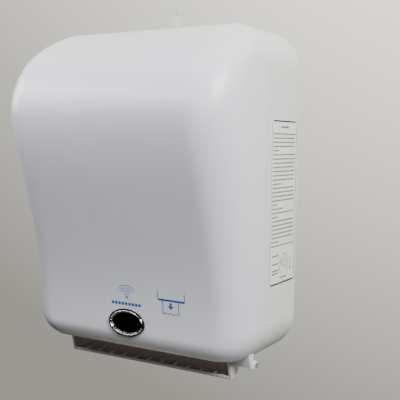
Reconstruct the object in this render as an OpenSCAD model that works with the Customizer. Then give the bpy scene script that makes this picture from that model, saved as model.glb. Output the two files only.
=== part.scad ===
// Wall-mounted automatic paper towel dispenser with its feed, lock, power and roll holder.
// X runs to the right, Y into the wall and Z up. The origin is the middle of the four wall screws,
// on the back of the tray. Depths are measured from the wall, heights from the bottom of the tray.

/* [Body] */
// Width of the dispenser
body_w = 300; // [290:1:330]
// Height of the tray and cover
body_h = 382; // [372:1:410]
// Depth of the rear tray, from the wall to the parting line
tray_d = 83; // [82:1:92]
// Greatest depth, at the bulge over the roll
bulge_d = 192; // [190:1:220]
// Height of the bulge
bulge_h = 283; // [270:1:290]
// Depth of the front near the bottom
foot_d = 135; // [134:1:156]
// Rise of the cover's lower front edge above the bottom
foot_rise = 8; // [4:1:10]
// Radius of the lower front edge
foot_r = 24; // [16:1:26]
// Radius of the upper corners, seen from the front
top_r = 44; // [36:1:60]
// Radius of the lower corners, seen from the front
bottom_r = 46; // [42:1:50]
// Radius of the edges between front and sides
edge_r = 45; // [20:1:50]
// Fullness of the crown above the bulge, 1 is an ellipse
crown_power = 1.42; // [1.2:0.02:1.5]
// How early the front draws in below the bulge, 1 is midway
waist_skew = 0.77; // [0.7:0.01:1]
// Wall thickness of tray and cover
wall = 2.6; // [2:0.1:3.2]
// Thickness of the tray's back
back_t = 3; // [2:0.5:4]
// Gap at the parting line
parting = 0.6; // [0.4:0.1:1.2]

/* [Wall mount] */
// Spacing of the wall screws from left to right
mount_w = 190; // [180:1:200]
// Spacing of the wall screws from top to bottom
mount_h = 190; // [186:1:196]
// Bore for a wall screw
mount_bore = 5.5; // [4:0.1:6.5]
// Diameter of the pad around a wall screw
mount_pad_d = 14; // [10:1:15]
// Height of the pad
mount_pad_t = 2.5; // [1:0.5:4]

/* [Cover hinge] */
// Distance of the hinge axis behind the parting line
hinge_back = 5; // [4:0.5:7]
// Diameter of a hinge pin
hinge_pin_d = 4; // [3:0.5:5]
// Diameter of the fixed knuckles on the tray
knuckle_d = 9; // [8:0.5:10]
// Width of a knuckle
knuckle_w = 8; // [6:0.5:9]
// Diameter of the ears on the cover
ear_d = 10; // [8:0.5:10.5]
// Width of an ear
ear_w = 12; // [9:0.5:13]
// Reach of the ear's web forward from the cover's rim
ear_web = 14; // [10:1:18]
// Height of the ear's web above the hinge axis
ear_rise = 24; // [22:1:30]
// Running clearance on the radius of shafts and pins
running = 0.05; // [0.02:0.01:0.08]

/* [Chute] */
// Width over the cheeks
chute_w = 229; // [226:1:231]
// Depth of the lip
lip_d = 92; // [90:1:93]
// Drop of the lip below the bottom
lip_drop = 17; // [12:1:20]
// Radius of the scoop
scoop_r = 24; // [20:1:26]
// How far the cheeks' front edge leans forward for each unit of height
cheek_lean = 0.26; // [0:0.02:0.28]
// Height of the cheeks' top edge above the bottom
cheek_top = 24; // [20:1:27]
// Thickness of the cheeks
cheek_t = 3; // [2:0.5:4]
// Thickness of the scoop's floor
scoop_t = 2.4; // [1.6:0.2:3]
// Diameter of the bead along the lip
lip_bead = 4; // [3:0.5:5]
// Number of ribs in the scoop
rib_count = 11; // [5:1:15]
// Thickness of a rib
rib_t = 1.4; // [1:0.1:2]
// Height of a rib over the floor
rib_h = 3.4; // [2.4:0.2:5]
// Thickness of the dark guide panels
guide_t = 1.4; // [0.8:0.2:2]
// Clearance between the chute and the openings around it
chute_gap = 2; // [1:0.5:3]
// Pitch of the tear bar's teeth
tooth_pitch = 5; // [3:0.5:8]
// Thickness of the tear bar
tear_t = 1; // [0.6:0.2:1.4]

/* [Feed roller] */
// Depth of the feed roller's axis
feed_d = 76; // [74:1:78]
// Height of the feed roller's axis
feed_h = 60; // [58:1:63]
// Length of the rollers
feed_w = 194; // [180:1:195]
// Diameter of the rubber sleeves
sleeve_d = 26; // [25:0.5:27]
// Diameter of the drum under the sleeves
drum_d = 22; // [16:0.5:23]
// Diameter of the feed shaft
shaft_d = 6; // [5:0.5:7]
// Number of sleeves along the drum
sleeve_count = 4; // [2:1:5]
// Width of one sleeve
sleeve_w = 34; // [20:1:36]

/* [Pinch roller] */
// Diameter of the pinch rollers
pinch_d = 16; // [14:0.5:17]
// Diameter of their shaft
pinch_shaft_d = 5; // [4:0.5:6]
// How far below level the pinch roller sits in front of the feed roller
pinch_angle = 25; // [15:1:32]
// Gap at the nip, for the paper
nip = 0.3; // [0.3:0.1:0.8]
// Depth of the pinch frame's pivot
pivot_d = 104; // [102:1:106]
// Height of the pinch frame's pivot
pivot_h = 82; // [80:1:84]
// Diameter of the pivot pins
pivot_pin_d = 4; // [3:0.5:5]

/* [Chassis] */
// Thickness of a side plate
plate_t = 3; // [2:0.5:3.5]
// Depth of the side plates' front edge
plate_front = 118; // [118:1:122]
// Height of the side plates' top edge
plate_top = 92; // [92:1:93]
// Height of the side plates' lower edge
plate_low = 8; // [7:0.5:9]
// Thickness of the back plate
spine_t = 8; // [7:0.5:9]
// Length of the posts that carry the back plate
post_l = 5; // [4:0.5:6]

/* [Drive] */
// Teeth of the motor pinion
pinion_teeth = 14; // [14:1:15]
// Teeth of the idler
idler_teeth = 24; // [22:1:26]
// Teeth of the gear on the feed shaft
roller_teeth = 32; // [30:1:34]
// Width of the gears
gear_w = 6; // [5:0.5:7]
// Play between the teeth, along the pitch circle
backlash = 0.3; // [0.2:0.05:0.4]
// Motor diameter
motor_can_d = 28; // [26:1:29]
// Motor length
motor_can_l = 38; // [30:1:45]
// Depth of the motor's axis
motor_d = 36; // [35:1:37]
// Height of the motor's axis
motor_h = 58; // [56:1:60]
// Diameter of the motor shaft
motor_shaft_d = 3; // [2:0.5:4]
// Diameter of the idler's pin
idler_pin_d = 4; // [3:0.5:5]

/* [Sensor] */
// Height of the sensor's middle
sensor_h = 42; // [41:1:46]
// Width of the chrome bezel
bezel_w = 50; // [40:1:56]
// Height of the chrome bezel
bezel_h = 33; // [26:1:34]
// Width of the bezel's rim
bezel_rim = 5; // [3:0.5:6]
// How far the bezel stands proud of the cover
bezel_proud = 2.5; // [1:0.5:4]
// Diameter of the emitter and receiver
eye_d = 5; // [3:0.5:6]
// Thickness of the bar that carries the sensor
bar_t = 4; // [3:0.5:4.5]

/* [Lock] */
// Depth of the lock's axis
lock_d = 32; // [31:1:44]
// Diameter of the lock barrel
barrel_d = 12; // [10:0.5:14]
// Outer diameter of the tube around the barrel
tube_d = 18; // [16:0.5:19]
// Length of the tube below the top wall
tube_l = 12; // [10:0.5:14]
// Reach of the cam from the lock's axis
cam_l = 20; // [18:0.5:22]
// Width of the cam
cam_w = 8; // [6:0.5:9]
// Thickness of the cam
cam_t = 3; // [2:0.5:4]
// Width of the key's bow
bow_w = 18; // [14:0.5:22]
// Height of the key's bow
bow_h = 26; // [20:0.5:30]
// Thickness of the key
key_t = 2.2; // [1.6:0.1:2.6]

/* [Roll] */
// Diameter of the paper roll
roll_d = 124; // [110:1:158]
// Width of the paper roll
roll_w = 200; // [180:1:200]
// Outer diameter of the core
core_d = 44; // [42:1:48]
// Wall of the core
core_t = 2; // [1:0.5:2]
// Depth of the hubs' axis
hub_axis_d = 105; // [104:1:106]
// Height of the hubs' axis
hub_axis_h = 286; // [284:1:288]
// Hub diameter at the arm
hub_d = 32; // [26:1:32]
// Hub diameter at the tip
hub_tip_d = 27; // [20:1:27]
// Reach of a hub from its arm
hub_l = 12; // [8:1:14]
// Room between the roll and an arm
roll_room = 4; // [3:0.5:5]
// Thickness of an arm
arm_t = 4; // [3:0.5:5]
// Diameter of the swinging arm's pin
arm_pin_d = 4; // [3:0.5:5]

/* [Power] */
// Diameter of a cell
cell_d = 33; // [26:0.5:34]
// Length of a cell
cell_l = 60; // [50:1:61]
// Height of the battery box's underside
box_h = 108; // [106:1:110]
// Wall of the battery box and the control box
box_t = 2; // [1.5:0.5:2.5]
// Thickness of the battery lid
lid_t = 2; // [1.6:0.2:2.4]

/* [Controls] */
// Width of the control box
control_w = 56; // [52:1:58]
// Height of the control box
control_z = 66; // [60:1:70]
// Depth of the control box from the tray's back
control_y = 31; // [28:1:34]
// Diameter of the feed button
button_d = 12; // [10:0.5:14]
// Travel of the feed button
button_travel = 1.5; // [1:0.1:2]
// Travel of the length slider to either side
slider_travel = 5; // [3:0.5:6]

/* [Label] */
// Width of the sticker on the right side
label_w = 70; // [50:1:72]
// Height of the sticker
label_h = 188; // [120:1:195]
// Height of the sticker's lower edge
label_low = 89; // [80:1:110]
// Thickness of the sticker
label_t = 0.3; // [0.2:0.1:0.5]

/* [Hidden] */
$fn = 64;

// Clearance between flat faces that slide past each other
slip = 0.3;
// Overlap of a cut past the face that it opens
through = 1;

z_low = -body_h / 2;
z_top = body_h / 2;
z_bulge = z_low + bulge_h;
z_foot = z_low + foot_rise + foot_r;
z_roof = z_top - wall;
cover_back = tray_d + parting;

// Rollers, pinch frame and its springs side by side between the plates, and the cheeks outside them
pinch_arm_gap = 2;
pinch_arm_t = 3;
pinch_spring_room = 6.4;
frame_half = feed_w / 2 + pinch_arm_gap + pinch_arm_t + pinch_spring_room;
chute_half = max(chute_w / 2, frame_half + plate_t + cheek_t);

// Hinge axis, level with the bottom of the tray, and ears under the cover's lower corners
hinge_y = -(tray_d - hinge_back);
hinge_z = z_low;
ear_lap = 3.5;
corner_x = body_w / 2 - bottom_r + sqrt(pow(bottom_r, 2) - pow(bottom_r - foot_rise, 2));
ear_x = max(chute_half + chute_gap + knuckle_w + 2 * through, corner_x - ear_lap);
knuckle_x = ear_x - through - knuckle_w;
pin_head_d = 1.5 * hinge_pin_d;
pin_head_t = 1;

// Feed and pinch axes, as [y, z]
feed_axis = [-feed_d, z_low + feed_h];
nip_l = (sleeve_d + pinch_d) / 2 + nip;
pinch_axis = feed_axis + nip_l * [-cos(pinch_angle), -sin(pinch_angle)];
pivot_axis = [-pivot_d, z_low + pivot_h];
motor_axis = [-motor_d, z_low + motor_h];

// Side plates
plate_out = chute_half - cheek_t;
plate_in = plate_out - plate_t;
spine_y = -(back_t + post_l);
spine_rise = 14;
spine_h = 72;
spine_low = z_low + spine_rise;
spine_high = spine_low + spine_h;

// Gear train, with the idler above the line from motor to roller
gear_module = 1;
pinion_c = gear_module * (pinion_teeth + idler_teeth) / 2;
roller_c = gear_module * (idler_teeth + roller_teeth) / 2;
train_v = feed_axis - motor_axis;
train_l = norm(train_v);
train_dir = atan2(train_v[1], train_v[0]);
idler_turn = acos((pow(pinion_c, 2) + pow(train_l, 2) - pow(roller_c, 2)) / (2 * pinion_c * train_l));
pinion_dir = train_dir - idler_turn;
idler_axis = motor_axis + pinion_c * [cos(pinion_dir), sin(pinion_dir)];
roller_dir = atan2(feed_axis[1] - idler_axis[1], feed_axis[0] - idler_axis[0]);
gear_side = 3;
shaft_proud = 2;
gear_end = 2;
gear_x = -(plate_out + gear_side + gear_w);
shaft_end = -gear_x + shaft_proud;
gear_cover_x = shaft_end + gear_end;
gear_cover_t = 2;
gear_room = 3;

// Lock
lock_y = -lock_d;
cam_z = z_roof - tube_l - slip - cam_t;
barrel_low = cam_z + cam_t;
barrel_head_t = 1.5;
barrel_flange = 2;
barrel_head_d = barrel_d + 2 * barrel_flange;
blade_w = 7;
blade_l = 9;
key_neck_w = 8;
key_neck_h = 6;
key_base = z_top + slip + barrel_head_t;
key_hole_d = 4;
key_hole_share = 0.7;
bow_sink = 2;
cam_bolt_d = 2.5;
cam_bolt_l = 4;
hook_gap = 2;
hook_x = tube_d / 2 + hook_gap;
hook_w = 9;
hook_t = 3;
hook_drop = 6;
hook_root = 6;
hook_play = 0.4;
hook_lip_y = lock_y + cam_w / 2 + hook_play;

// Roll holder
arm_in = roll_w / 2 + roll_room;
arm_out = arm_in + arm_t;
hub_y = -hub_axis_d;
hub_z = z_low + hub_axis_h;
hub_end_d = hub_d - (hub_d - hub_tip_d) * roll_room / hub_l;
core_in_d = core_d - 2 * core_t;
roll_z = hub_z - (core_in_d - hub_end_d) / 2 + slip;
arm_root = 42;
arm_end_d = 36;
foot_t = 4;
foot_w = 22;
spigot_d = 10;
arm_knuckle_d = 10;
arm_pin_front = 12;
arm_pin_x = arm_out + arm_knuckle_d / 2;
arm_pin_y = -(back_t + arm_pin_front);
arm_root_back = 3;
lug_t = 6;
lug_z = 22;
knuckle_drop = 13;
knuckle_low = hub_z - knuckle_drop;
knuckle_high = hub_z + lug_z - slip;
bracket_in = 8;
bracket_out = 20;
bracket_x = [arm_pin_x - bracket_in, arm_pin_x + bracket_out];
foot_screw_in = 6;
foot_screw_z = 18;
foot_places = [for (x = [-arm_out - foot_w / 2, bracket_x[1] - foot_screw_in], side = [-1, 1])
    [x, hub_z + side * foot_screw_z]];

// Power
cell_room = 0.5;
contact_l = 4;
box_in_x = 2 * cell_l + 2 * contact_l;
box_in_y = cell_d + 2 * cell_room;
box_in_z = 2 * (cell_d + 2 * cell_room) + box_t;
box_x = box_in_x / 2 + box_t;
box_z = z_low + box_h;
box_top = box_z + box_in_z + 2 * box_t;
box_front = -(back_t + box_t + box_in_y);
rail_t = 1.6;

// Controls
control_gap = 6;
control_rise = 2;
control_x = box_x + control_gap;
control_low = z_low + box_h + control_rise;
control_front = -(back_t + control_y);
panel_t = 2.5;
board_t = 1.6;
board_gap = 10;

// Places on the panel, as shares of its width and height
button_at = [0.3, 0.3];
slider_at = [0.62, 0.72];
lamp_at = [0.75, 0.3];
button_x = control_x + button_at[0] * control_w;
button_z = control_low + button_at[1] * control_z;
slider_x = control_x + slider_at[0] * control_w;
slider_z = control_low + slider_at[1] * control_z;
lamp_x = control_x + lamp_at[0] * control_w;
lamp_z = control_low + lamp_at[1] * control_z;
lamp_d = 3;
knob_w = 8;
knob_h = 5;

// Fasteners
screw_d = 3;
small_screw_d = 2.5;
small_screw_l = 6;
screw_short = 1;
spine_screw_l = spine_t + post_l - screw_short;
foot_screw_l = foot_t + back_t - screw_short;

// Collar and bushing sizes
collar = 1.5;
collar_t = 1.2;
bushing_t = 2;
bushing_flange = 1.5;

// Outlines on the YZ plane, with their thickness along +X from x
module on_x(x) {
    translate([x, 0, 0]) rotate([90, 0, 90]) children();
}

// Outlines on the XZ plane, with their thickness towards the front from y
module on_front(y) {
    translate([0, y, 0]) rotate([90, 0, 0]) children();
}

// A box between two values on each axis
module block(x, y, z) {
    translate([min(x), min(y), min(z)]) cube([max(x) - min(x), max(y) - min(y), max(z) - min(z)]);
}

// A rod along X at the axis at = [y, z]
module rod_x(d, x, at) {
    translate([min(x), at[0], at[1]]) rotate([0, 90, 0]) cylinder(d = d, h = max(x) - min(x));
}

// A rod along Y at the axis at = [x, z]
module rod_y(d, y, at) {
    translate([at[0], max(y), at[1]]) rotate([90, 0, 0]) cylinder(d = d, h = max(y) - min(y));
}

// A rod along Z at the axis at = [x, y]
module rod_z(d, z, at) {
    translate([at[0], at[1], min(z)]) cylinder(d = d, h = max(z) - min(z));
}

// The shape and its mirror image on the other side
module both_sides() {
    children();
    mirror([1, 0, 0]) children();
}

// A pan-head screw, its head above z = 0 and its shank below
module screw(d, l) {
    head_t = 0.7 * d;
    recess = 0.4 * d;
    slot_l = 1.2 * d;
    slot_w = 0.24 * d;
    difference() {
        union() {
            cylinder(d = 2 * d, h = head_t);
            translate([0, 0, -l]) cylinder(d = d, h = l);
        }
        for (turn = [0, 90])
            rotate([0, 0, turn]) translate([-slot_l / 2, -slot_w / 2, head_t - recess])
                cube([slot_l, slot_w, recess + through]);
    }
}

// A screw seen from the front
module screw_front(d, l, at) {
    translate(at) rotate([90, 0, 0]) screw(d, l);
}

// A screw with its head towards side, 1 right or -1 left
module screw_side(d, l, at, side) {
    translate(at) rotate([0, 90 * side, 0]) screw(d, l);
}

// Points of an oval
function oval(w, h, steps = 48) =
    [for (k = [0 : steps - 1]) let (a = 360 * k / steps) [w / 2 * cos(a), h / 2 * sin(a)]];

// The tray's front view, drawn in by inset
module tray_outline(inset) {
    r_top = top_r - inset;
    r_low = bottom_r - inset;
    translate([-body_w / 2 + inset, z_low + bottom_r]) square([body_w - 2 * inset, body_h - bottom_r - top_r]);
    translate([-body_w / 2 + top_r, z_top - top_r]) square([body_w - 2 * top_r, r_top]);
    translate([-body_w / 2 + bottom_r, z_low + inset]) square([body_w - 2 * bottom_r, r_low]);
    for (side = [-1, 1]) {
        translate([side * (body_w / 2 - top_r), z_top - top_r]) circle(r = r_top);
        translate([side * (body_w / 2 - bottom_r), z_low + bottom_r]) circle(r = r_low);
    }
}

mount_places = [for (sx = [-1, 1], sz = [-1, 1]) [sx * mount_w / 2, sz * mount_h / 2]];
post_in = 20;
post_rise = 12;
post_x = feed_w / 2 - post_in;
post_places = [for (sx = [-1, 1], z = [spine_low + post_rise, spine_high - post_rise]) [sx * post_x, z]];
post_d = 10;

module rear_housing() {
    color("whitesmoke") difference() {
        union() {
            difference() {
                on_front(0) linear_extrude(tray_d) tray_outline(0);
                on_front(-back_t) linear_extrude(tray_d) tray_outline(wall);
            }
            for (at = mount_places) rod_y(mount_pad_d, [0, -(back_t + mount_pad_t)], at);
            for (at = post_places) rod_y(post_d, [0, spine_y], at);
            rod_z(tube_d, [z_roof - tube_l, z_top], [0, lock_y]);
            both_sides() hinge_knuckle();
        }
        for (at = mount_places) rod_y(mount_bore, [through, -tray_d], at);
        for (at = foot_places) rod_y(screw_d, [foot_screw_l - foot_t - back_t, -tray_d], at);
        for (at = post_places) rod_y(screw_d, [spine_y - spine_t + spine_screw_l, -tray_d], at);
        rod_z(barrel_d + 2 * running, [z_roof - tube_l - through, z_top + through], [0, lock_y]);
        both_sides() rod_x(hinge_pin_d, [knuckle_x - through, body_w], [hinge_y, hinge_z]);
        block([-1, 1] * (chute_half + chute_gap), [scoop_back + chute_gap, -tray_d - through],
            [z_low - through, z_low + foot_rise + wall]);
    }
}

// Room for the pads around the wall screws in what lies on the tray's back
module pad_relief() {
    for (at = mount_places) rod_y(mount_pad_d + 2 * slip, [through, -(back_t + mount_pad_t + slip)], at);
}

// A fixed knuckle under the tray's lower corner
module hinge_knuckle() {
    rod_x(knuckle_d, [knuckle_x, knuckle_x + knuckle_w], [hinge_y, hinge_z]);
    block([knuckle_x, knuckle_x + knuckle_w], [hinge_y - knuckle_d / 2, hinge_y + knuckle_d / 2],
        [hinge_z, hinge_z + bottom_r / 4]);
}

// Steps of the cover's surface over the crown, down the front and round the foot
crown_steps = 16;
front_steps = 26;
foot_steps = 6;
arc_steps = 9;
cover_rows = crown_steps + front_steps + foot_steps;
row_points = 2 * (arc_steps + 1) + 2;

// Depth of the rim, which falls away towards the inside
rim_fall = 0.2;
function rim_y(inset) = -cover_back - rim_fall * inset;

function tanh(u) = (exp(2 * u) - 1) / (exp(2 * u) + 1);
function waist(s) = 3 * pow(s, 2 * waist_skew) - 2 * pow(s, 3 * waist_skew);
function front_depth(z) = bulge_d - (bulge_d - foot_d) * waist((z_bulge - z) / (z_bulge - z_foot));

// Height of a row of the surface that lies inset inside the outer one
function row_z(j, inset) =
    j <= crown_steps ? z_bulge + (z_top - inset - z_bulge) * cos(90 * j / crown_steps) :
    j <= crown_steps + front_steps ? z_bulge + (z_foot - z_bulge) * (j - crown_steps) / front_steps :
    z_foot - (foot_r - inset) * sin(90 * (j - crown_steps - front_steps) / foot_steps);

// Depth of that row
function row_d(j, inset) =
    j <= crown_steps ?
        cover_back + (bulge_d - inset - cover_back) * pow(sin(90 * j / crown_steps), crown_power) :
    j <= crown_steps + front_steps ? front_depth(row_z(j, inset)) - inset :
    foot_d - foot_r + (foot_r - inset) * cos(90 * (j - crown_steps - front_steps) / foot_steps);

// Half the width of the front view at a height
function half_width(z, inset) =
    z > z_top - top_r ?
        body_w / 2 - top_r + sqrt(max(0, pow(top_r - inset, 2) - pow(z - z_top + top_r, 2))) :
    z < z_low + bottom_r ?
        body_w / 2 - bottom_r + sqrt(max(0, pow(bottom_r - inset, 2) - pow(z_low + bottom_r - z, 2))) :
    body_w / 2 - inset;

// Radius between front and side in a row, smaller where the cover is shallow
corner_share = 0.98;
corner_fall = 0.8;
function row_r(j, inset) =
    let (room = row_d(j, inset) - cover_back)
    min(room * corner_share, edge_r * tanh((row_d(j, 0) - cover_back) / edge_r) - corner_fall * inset);

// One row of the surface, from the left rim round the front to the right rim
function row(j, inset) =
    let (z = row_z(j, inset), w = half_width(z, inset))
    j == 0 ?
        [for (k = [0 : row_points - 1]) [w * (2 * k / (row_points - 1) - 1), rim_y(inset), z]] :
        let (d = row_d(j, inset), r = row_r(j, inset))
        concat(
            [[-w, rim_y(inset), z]],
            [for (k = [0 : arc_steps]) let (a = 90 * k / arc_steps)
                [-w + r * (1 - cos(a)), -(d - r + r * sin(a)), z]],
            [for (k = [arc_steps : -1 : 0]) let (a = 90 * k / arc_steps)
                [w - r * (1 - cos(a)), -(d - r + r * sin(a)), z]],
            [[w, rim_y(inset), z]]);

// The cover's thin shell, closed by its rim on the parting line
module cover_shell() {
    layer = (cover_rows + 1) * row_points;
    at = function (j, k) j * row_points + k;
    last = row_points - 1;
    quads = concat(
        [for (j = [0 : cover_rows - 1], k = [0 : last - 1])
            [at(j, k), at(j, k + 1), at(j + 1, k + 1), at(j + 1, k)]],
        [for (j = [0 : cover_rows - 1], k = [0 : last - 1])
            [layer + at(j, k), layer + at(j + 1, k), layer + at(j + 1, k + 1), layer + at(j, k + 1)]],
        [for (k = [0 : last - 1])
            [at(0, k), layer + at(0, k), layer + at(0, k + 1), at(0, k + 1)]],
        [for (k = [0 : last - 1]) let (j = cover_rows)
            [at(j, k), at(j, k + 1), layer + at(j, k + 1), layer + at(j, k)]],
        [for (j = [0 : cover_rows - 1])
            [at(j, 0), at(j + 1, 0), layer + at(j + 1, 0), layer + at(j, 0)]],
        [for (j = [0 : cover_rows - 1])
            [at(j, last), layer + at(j, last), layer + at(j + 1, last), at(j + 1, last)]]);
    polyhedron(
        points = [for (inset = [0, wall], j = [0 : cover_rows]) each row(j, inset)],
        faces = [for (q = quads) each [[q[0], q[1], q[2]], [q[0], q[2], q[3]]]]);
}

module front_cover() {
    sensor_y = -front_depth(z_low + sensor_h);
    color("white") difference() {
        union() {
            cover_shell();
            both_sides() cover_ear();
            cover_hook();
        }
        both_sides() rod_x(hinge_pin_d + 2 * running, [ear_x - through, body_w], [hinge_y, hinge_z]);
        on_front(sensor_y + bezel_l) translate([0, z_low + sensor_h])
            linear_extrude(2 * bezel_l) polygon(oval(bezel_w, bezel_h));
    }
}

// An ear that turns on the hinge pin, with its web up into the cover's corner
module cover_ear() {
    r = ear_d / 2;
    back = -cover_back - through;
    on_x(ear_x) linear_extrude(ear_w) {
        translate([hinge_y, hinge_z]) circle(d = ear_d);
        polygon([[hinge_y, hinge_z + r], [back, hinge_z + r], [back, hinge_z + ear_rise],
            [back - ear_web, hinge_z + ear_rise], [back - ear_web / 2, hinge_z], [hinge_y, hinge_z - r]]);
    }
}

// The hook under the cover's top that reaches back past the lock's cam
module cover_hook() {
    x = [hook_x, hook_x + hook_w];
    high = z_roof - hook_drop;
    block(x, [hook_lip_y, -cover_back - hook_root], [high - hook_t, high]);
    block(x, [-cover_back - slip, -cover_back - hook_root], [high - hook_t, z_roof + wall / 4]);
    block(x, [hook_lip_y, hook_lip_y + hook_t], [cam_z - slip, high]);
}

module hinge_pins() {
    color("silver") both_sides() {
        rod_x(hinge_pin_d, [knuckle_x, ear_x + ear_w + slip], [hinge_y, hinge_z]);
        rod_x(pin_head_d, [ear_x + ear_w + slip, ear_x + ear_w + slip + pin_head_t], [hinge_y, hinge_z]);
    }
}

// Scoop of the chute, as outlines on the YZ plane
scoop_c = [-lip_d, z_low - lip_drop + scoop_r];
scoop_back = -lip_d + scoop_r;
cheek_in = chute_half - cheek_t;
chute_top = z_low + cheek_top;
bar_rise = 13;
bar_low = z_low + bar_rise;
tear_bar_t = 3;
function cheek_front(z) = -lip_d - cheek_lean * (z - z_low + lip_drop);
tear_front = cheek_front(bar_low);

// A band of the scoop between two radii, with its upright rear wall
module scoop_band(outer, inner) {
    intersection() {
        translate(scoop_c) difference() {
            circle(r = outer);
            circle(r = inner);
        }
        translate([-lip_d, scoop_c[1] - outer]) square([outer, outer]);
    }
    translate([-lip_d + inner, scoop_c[1]]) square([outer - inner, chute_top - scoop_c[1]]);
}

module cheek_outline() {
    intersection() {
        translate(scoop_c) circle(r = scoop_r);
        translate([-lip_d, scoop_c[1] - scoop_r]) square([scoop_r, scoop_r]);
    }
    polygon([[-lip_d, z_low - lip_drop], [cheek_front(chute_top), chute_top], [scoop_back, chute_top],
        [scoop_back, scoop_c[1]], [-lip_d, scoop_c[1]]]);
}

rib_pitch = 2 * cheek_in / (rib_count + 1);
rib_places = [for (k = [1 : rib_count]) -cheek_in + k * rib_pitch];
chute_screw_in = [4, 6];
chute_screw_z = z_low + 18;
chute_screw_places = [[-lip_d + chute_screw_in[0], chute_screw_z], [scoop_back - chute_screw_in[1], chute_screw_z]];
tear_screw_share = 0.8;
tear_screw_rise = 6;
tear_screw_places = [for (k = [-1, 0, 1]) k * tear_screw_share * cheek_in];
tear_screw_z = bar_low + tear_screw_rise;
tear_edge = 2;
plate_foot = tear_front + tear_bar_t + tear_t + 2 * slip;

module paper_chute() {
    color("gainsboro") difference() {
        union() {
            both_sides() on_x(cheek_in) linear_extrude(cheek_t) cheek_outline();
            on_x(-cheek_in) linear_extrude(2 * cheek_in) {
                scoop_band(scoop_r, scoop_r - scoop_t);
                translate([-lip_d, z_low - lip_drop + lip_bead / 2]) circle(d = lip_bead);
            }
            for (x = rib_places) on_x(x - rib_t / 2) linear_extrude(rib_t)
                scoop_band(scoop_r - scoop_t / 2, scoop_r - scoop_t - rib_h);
            block([-1, 1] * cheek_in, [tear_front, tear_front + tear_bar_t], [bar_low, chute_top]);
        }
        both_sides() for (at = chute_screw_places)
            rod_x(screw_d, [plate_in, chute_half + through], at);
        for (x = tear_screw_places)
            rod_y(small_screw_d, [tear_front + tear_bar_t + through, tear_front - through], [x, tear_screw_z]);
        both_sides() block([plate_in - slip, cheek_in], [scoop_back + through, tear_front + tear_bar_t],
            [z_low + plate_low - slip, chute_top + through]);
    }
}

// Dark panels between the ribs
module chute_guide() {
    color("dimgray") for (k = [0 : rib_count]) {
        x0 = k == 0 ? -plate_in : rib_places[k - 1] + rib_t / 2;
        x1 = k == rib_count ? plate_in : rib_places[k] - rib_t / 2;
        on_x(x0) linear_extrude(x1 - x0) difference() {
            scoop_band(scoop_r - scoop_t, scoop_r - scoop_t - guide_t);
            translate([-lip_d, z_low - lip_drop + lip_bead / 2]) circle(d = lip_bead);
        }
    }
}

// Toothed strip behind the chute's front bar, teeth downwards
module tear_bar() {
    half = floor((plate_in - slip) / tooth_pitch) * tooth_pitch;
    tooth_h = 0.6 * tooth_pitch;
    teeth = [for (x = [-half : tooth_pitch / 2 : half])
        [x, bar_low - tear_edge - (abs(round(2 * x / tooth_pitch)) % 2 == 1 ? tooth_h : 0)]];
    color("silver") difference() {
        on_front(tear_front + tear_bar_t + tear_t) linear_extrude(tear_t)
            polygon(concat(teeth, [[half, chute_top - tear_edge], [-half, chute_top - tear_edge]]));
        for (x = tear_screw_places) rod_y(small_screw_d, [0, -tray_d - foot_d], [x, tear_screw_z]);
    }
}

module tear_bar_screws() {
    color("gray") for (x = tear_screw_places)
        translate([x, tear_front + tear_bar_t + tear_t, tear_screw_z]) rotate([-90, 0, 0])
            screw(small_screw_d, tear_bar_t + tear_t);
}

module chute_screws() {
    color("gray") for (at = chute_screw_places, side = [-1, 1])
        screw_side(screw_d, chute_half - plate_in, [side * chute_half, at[0], at[1]], side);
}

// Sensor in the cover and behind it
bezel_back = 3;
bezel_l = bezel_proud + wall + bezel_back;
window_back = 2;
window_sink = 1;
module sensor_bezel() {
    y = -front_depth(z_low + sensor_h) - bezel_proud;
    color("silver") on_front(y + bezel_l) translate([0, z_low + sensor_h])
        linear_extrude(bezel_l) difference() {
            polygon(oval(bezel_w, bezel_h));
            polygon(oval(bezel_w - 2 * bezel_rim, bezel_h - 2 * bezel_rim));
        }
}

module sensor_window() {
    y = -front_depth(z_low + sensor_h);
    color("black") on_front(y + wall + window_back) translate([0, z_low + sensor_h])
        linear_extrude(wall + window_back - window_sink)
            polygon(oval(bezel_w - 2 * bezel_rim, bezel_h - 2 * bezel_rim));
}

bar_in = 1;
bar_h = 18;
bar_y = [-(plate_front - bar_in), -(plate_front - bar_in - bar_t)];
bar_z = [z_low + sensor_h - bar_h / 2, z_low + sensor_h + bar_h / 2];
board_w = 40;
board_h = 16;
eye_l = 6;
module sensor_bar() {
    color("dimgray") difference() {
        block([-plate_in, plate_in], bar_y, bar_z);
        for (side = [-1, 1]) rod_x(small_screw_d, [side * plate_in, side * (plate_in - small_screw_l)],
            [(bar_y[0] + bar_y[1]) / 2, z_low + sensor_h]);
    }
}

module sensor_board() {
    color("darkgreen") block([-board_w / 2, board_w / 2], [bar_y[0], bar_y[0] - board_t],
        [z_low + sensor_h - board_h / 2, z_low + sensor_h + board_h / 2]);
}

module sensor_eyes() {
    color("midnightblue") for (side = [-1, 1])
        translate([side * board_w / 4, bar_y[0] - board_t, z_low + sensor_h]) rotate([90, 0, 0]) {
            cylinder(d = eye_d, h = eye_l - eye_d / 2);
            translate([0, 0, eye_l - eye_d / 2]) sphere(d = eye_d);
        }
}

label_back = 4;
module side_label() {
    color("ivory") block([body_w / 2, body_w / 2 + label_t], [-label_back, -label_back - label_w],
        [z_low + label_low, z_low + label_low + label_h]);
}

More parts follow.
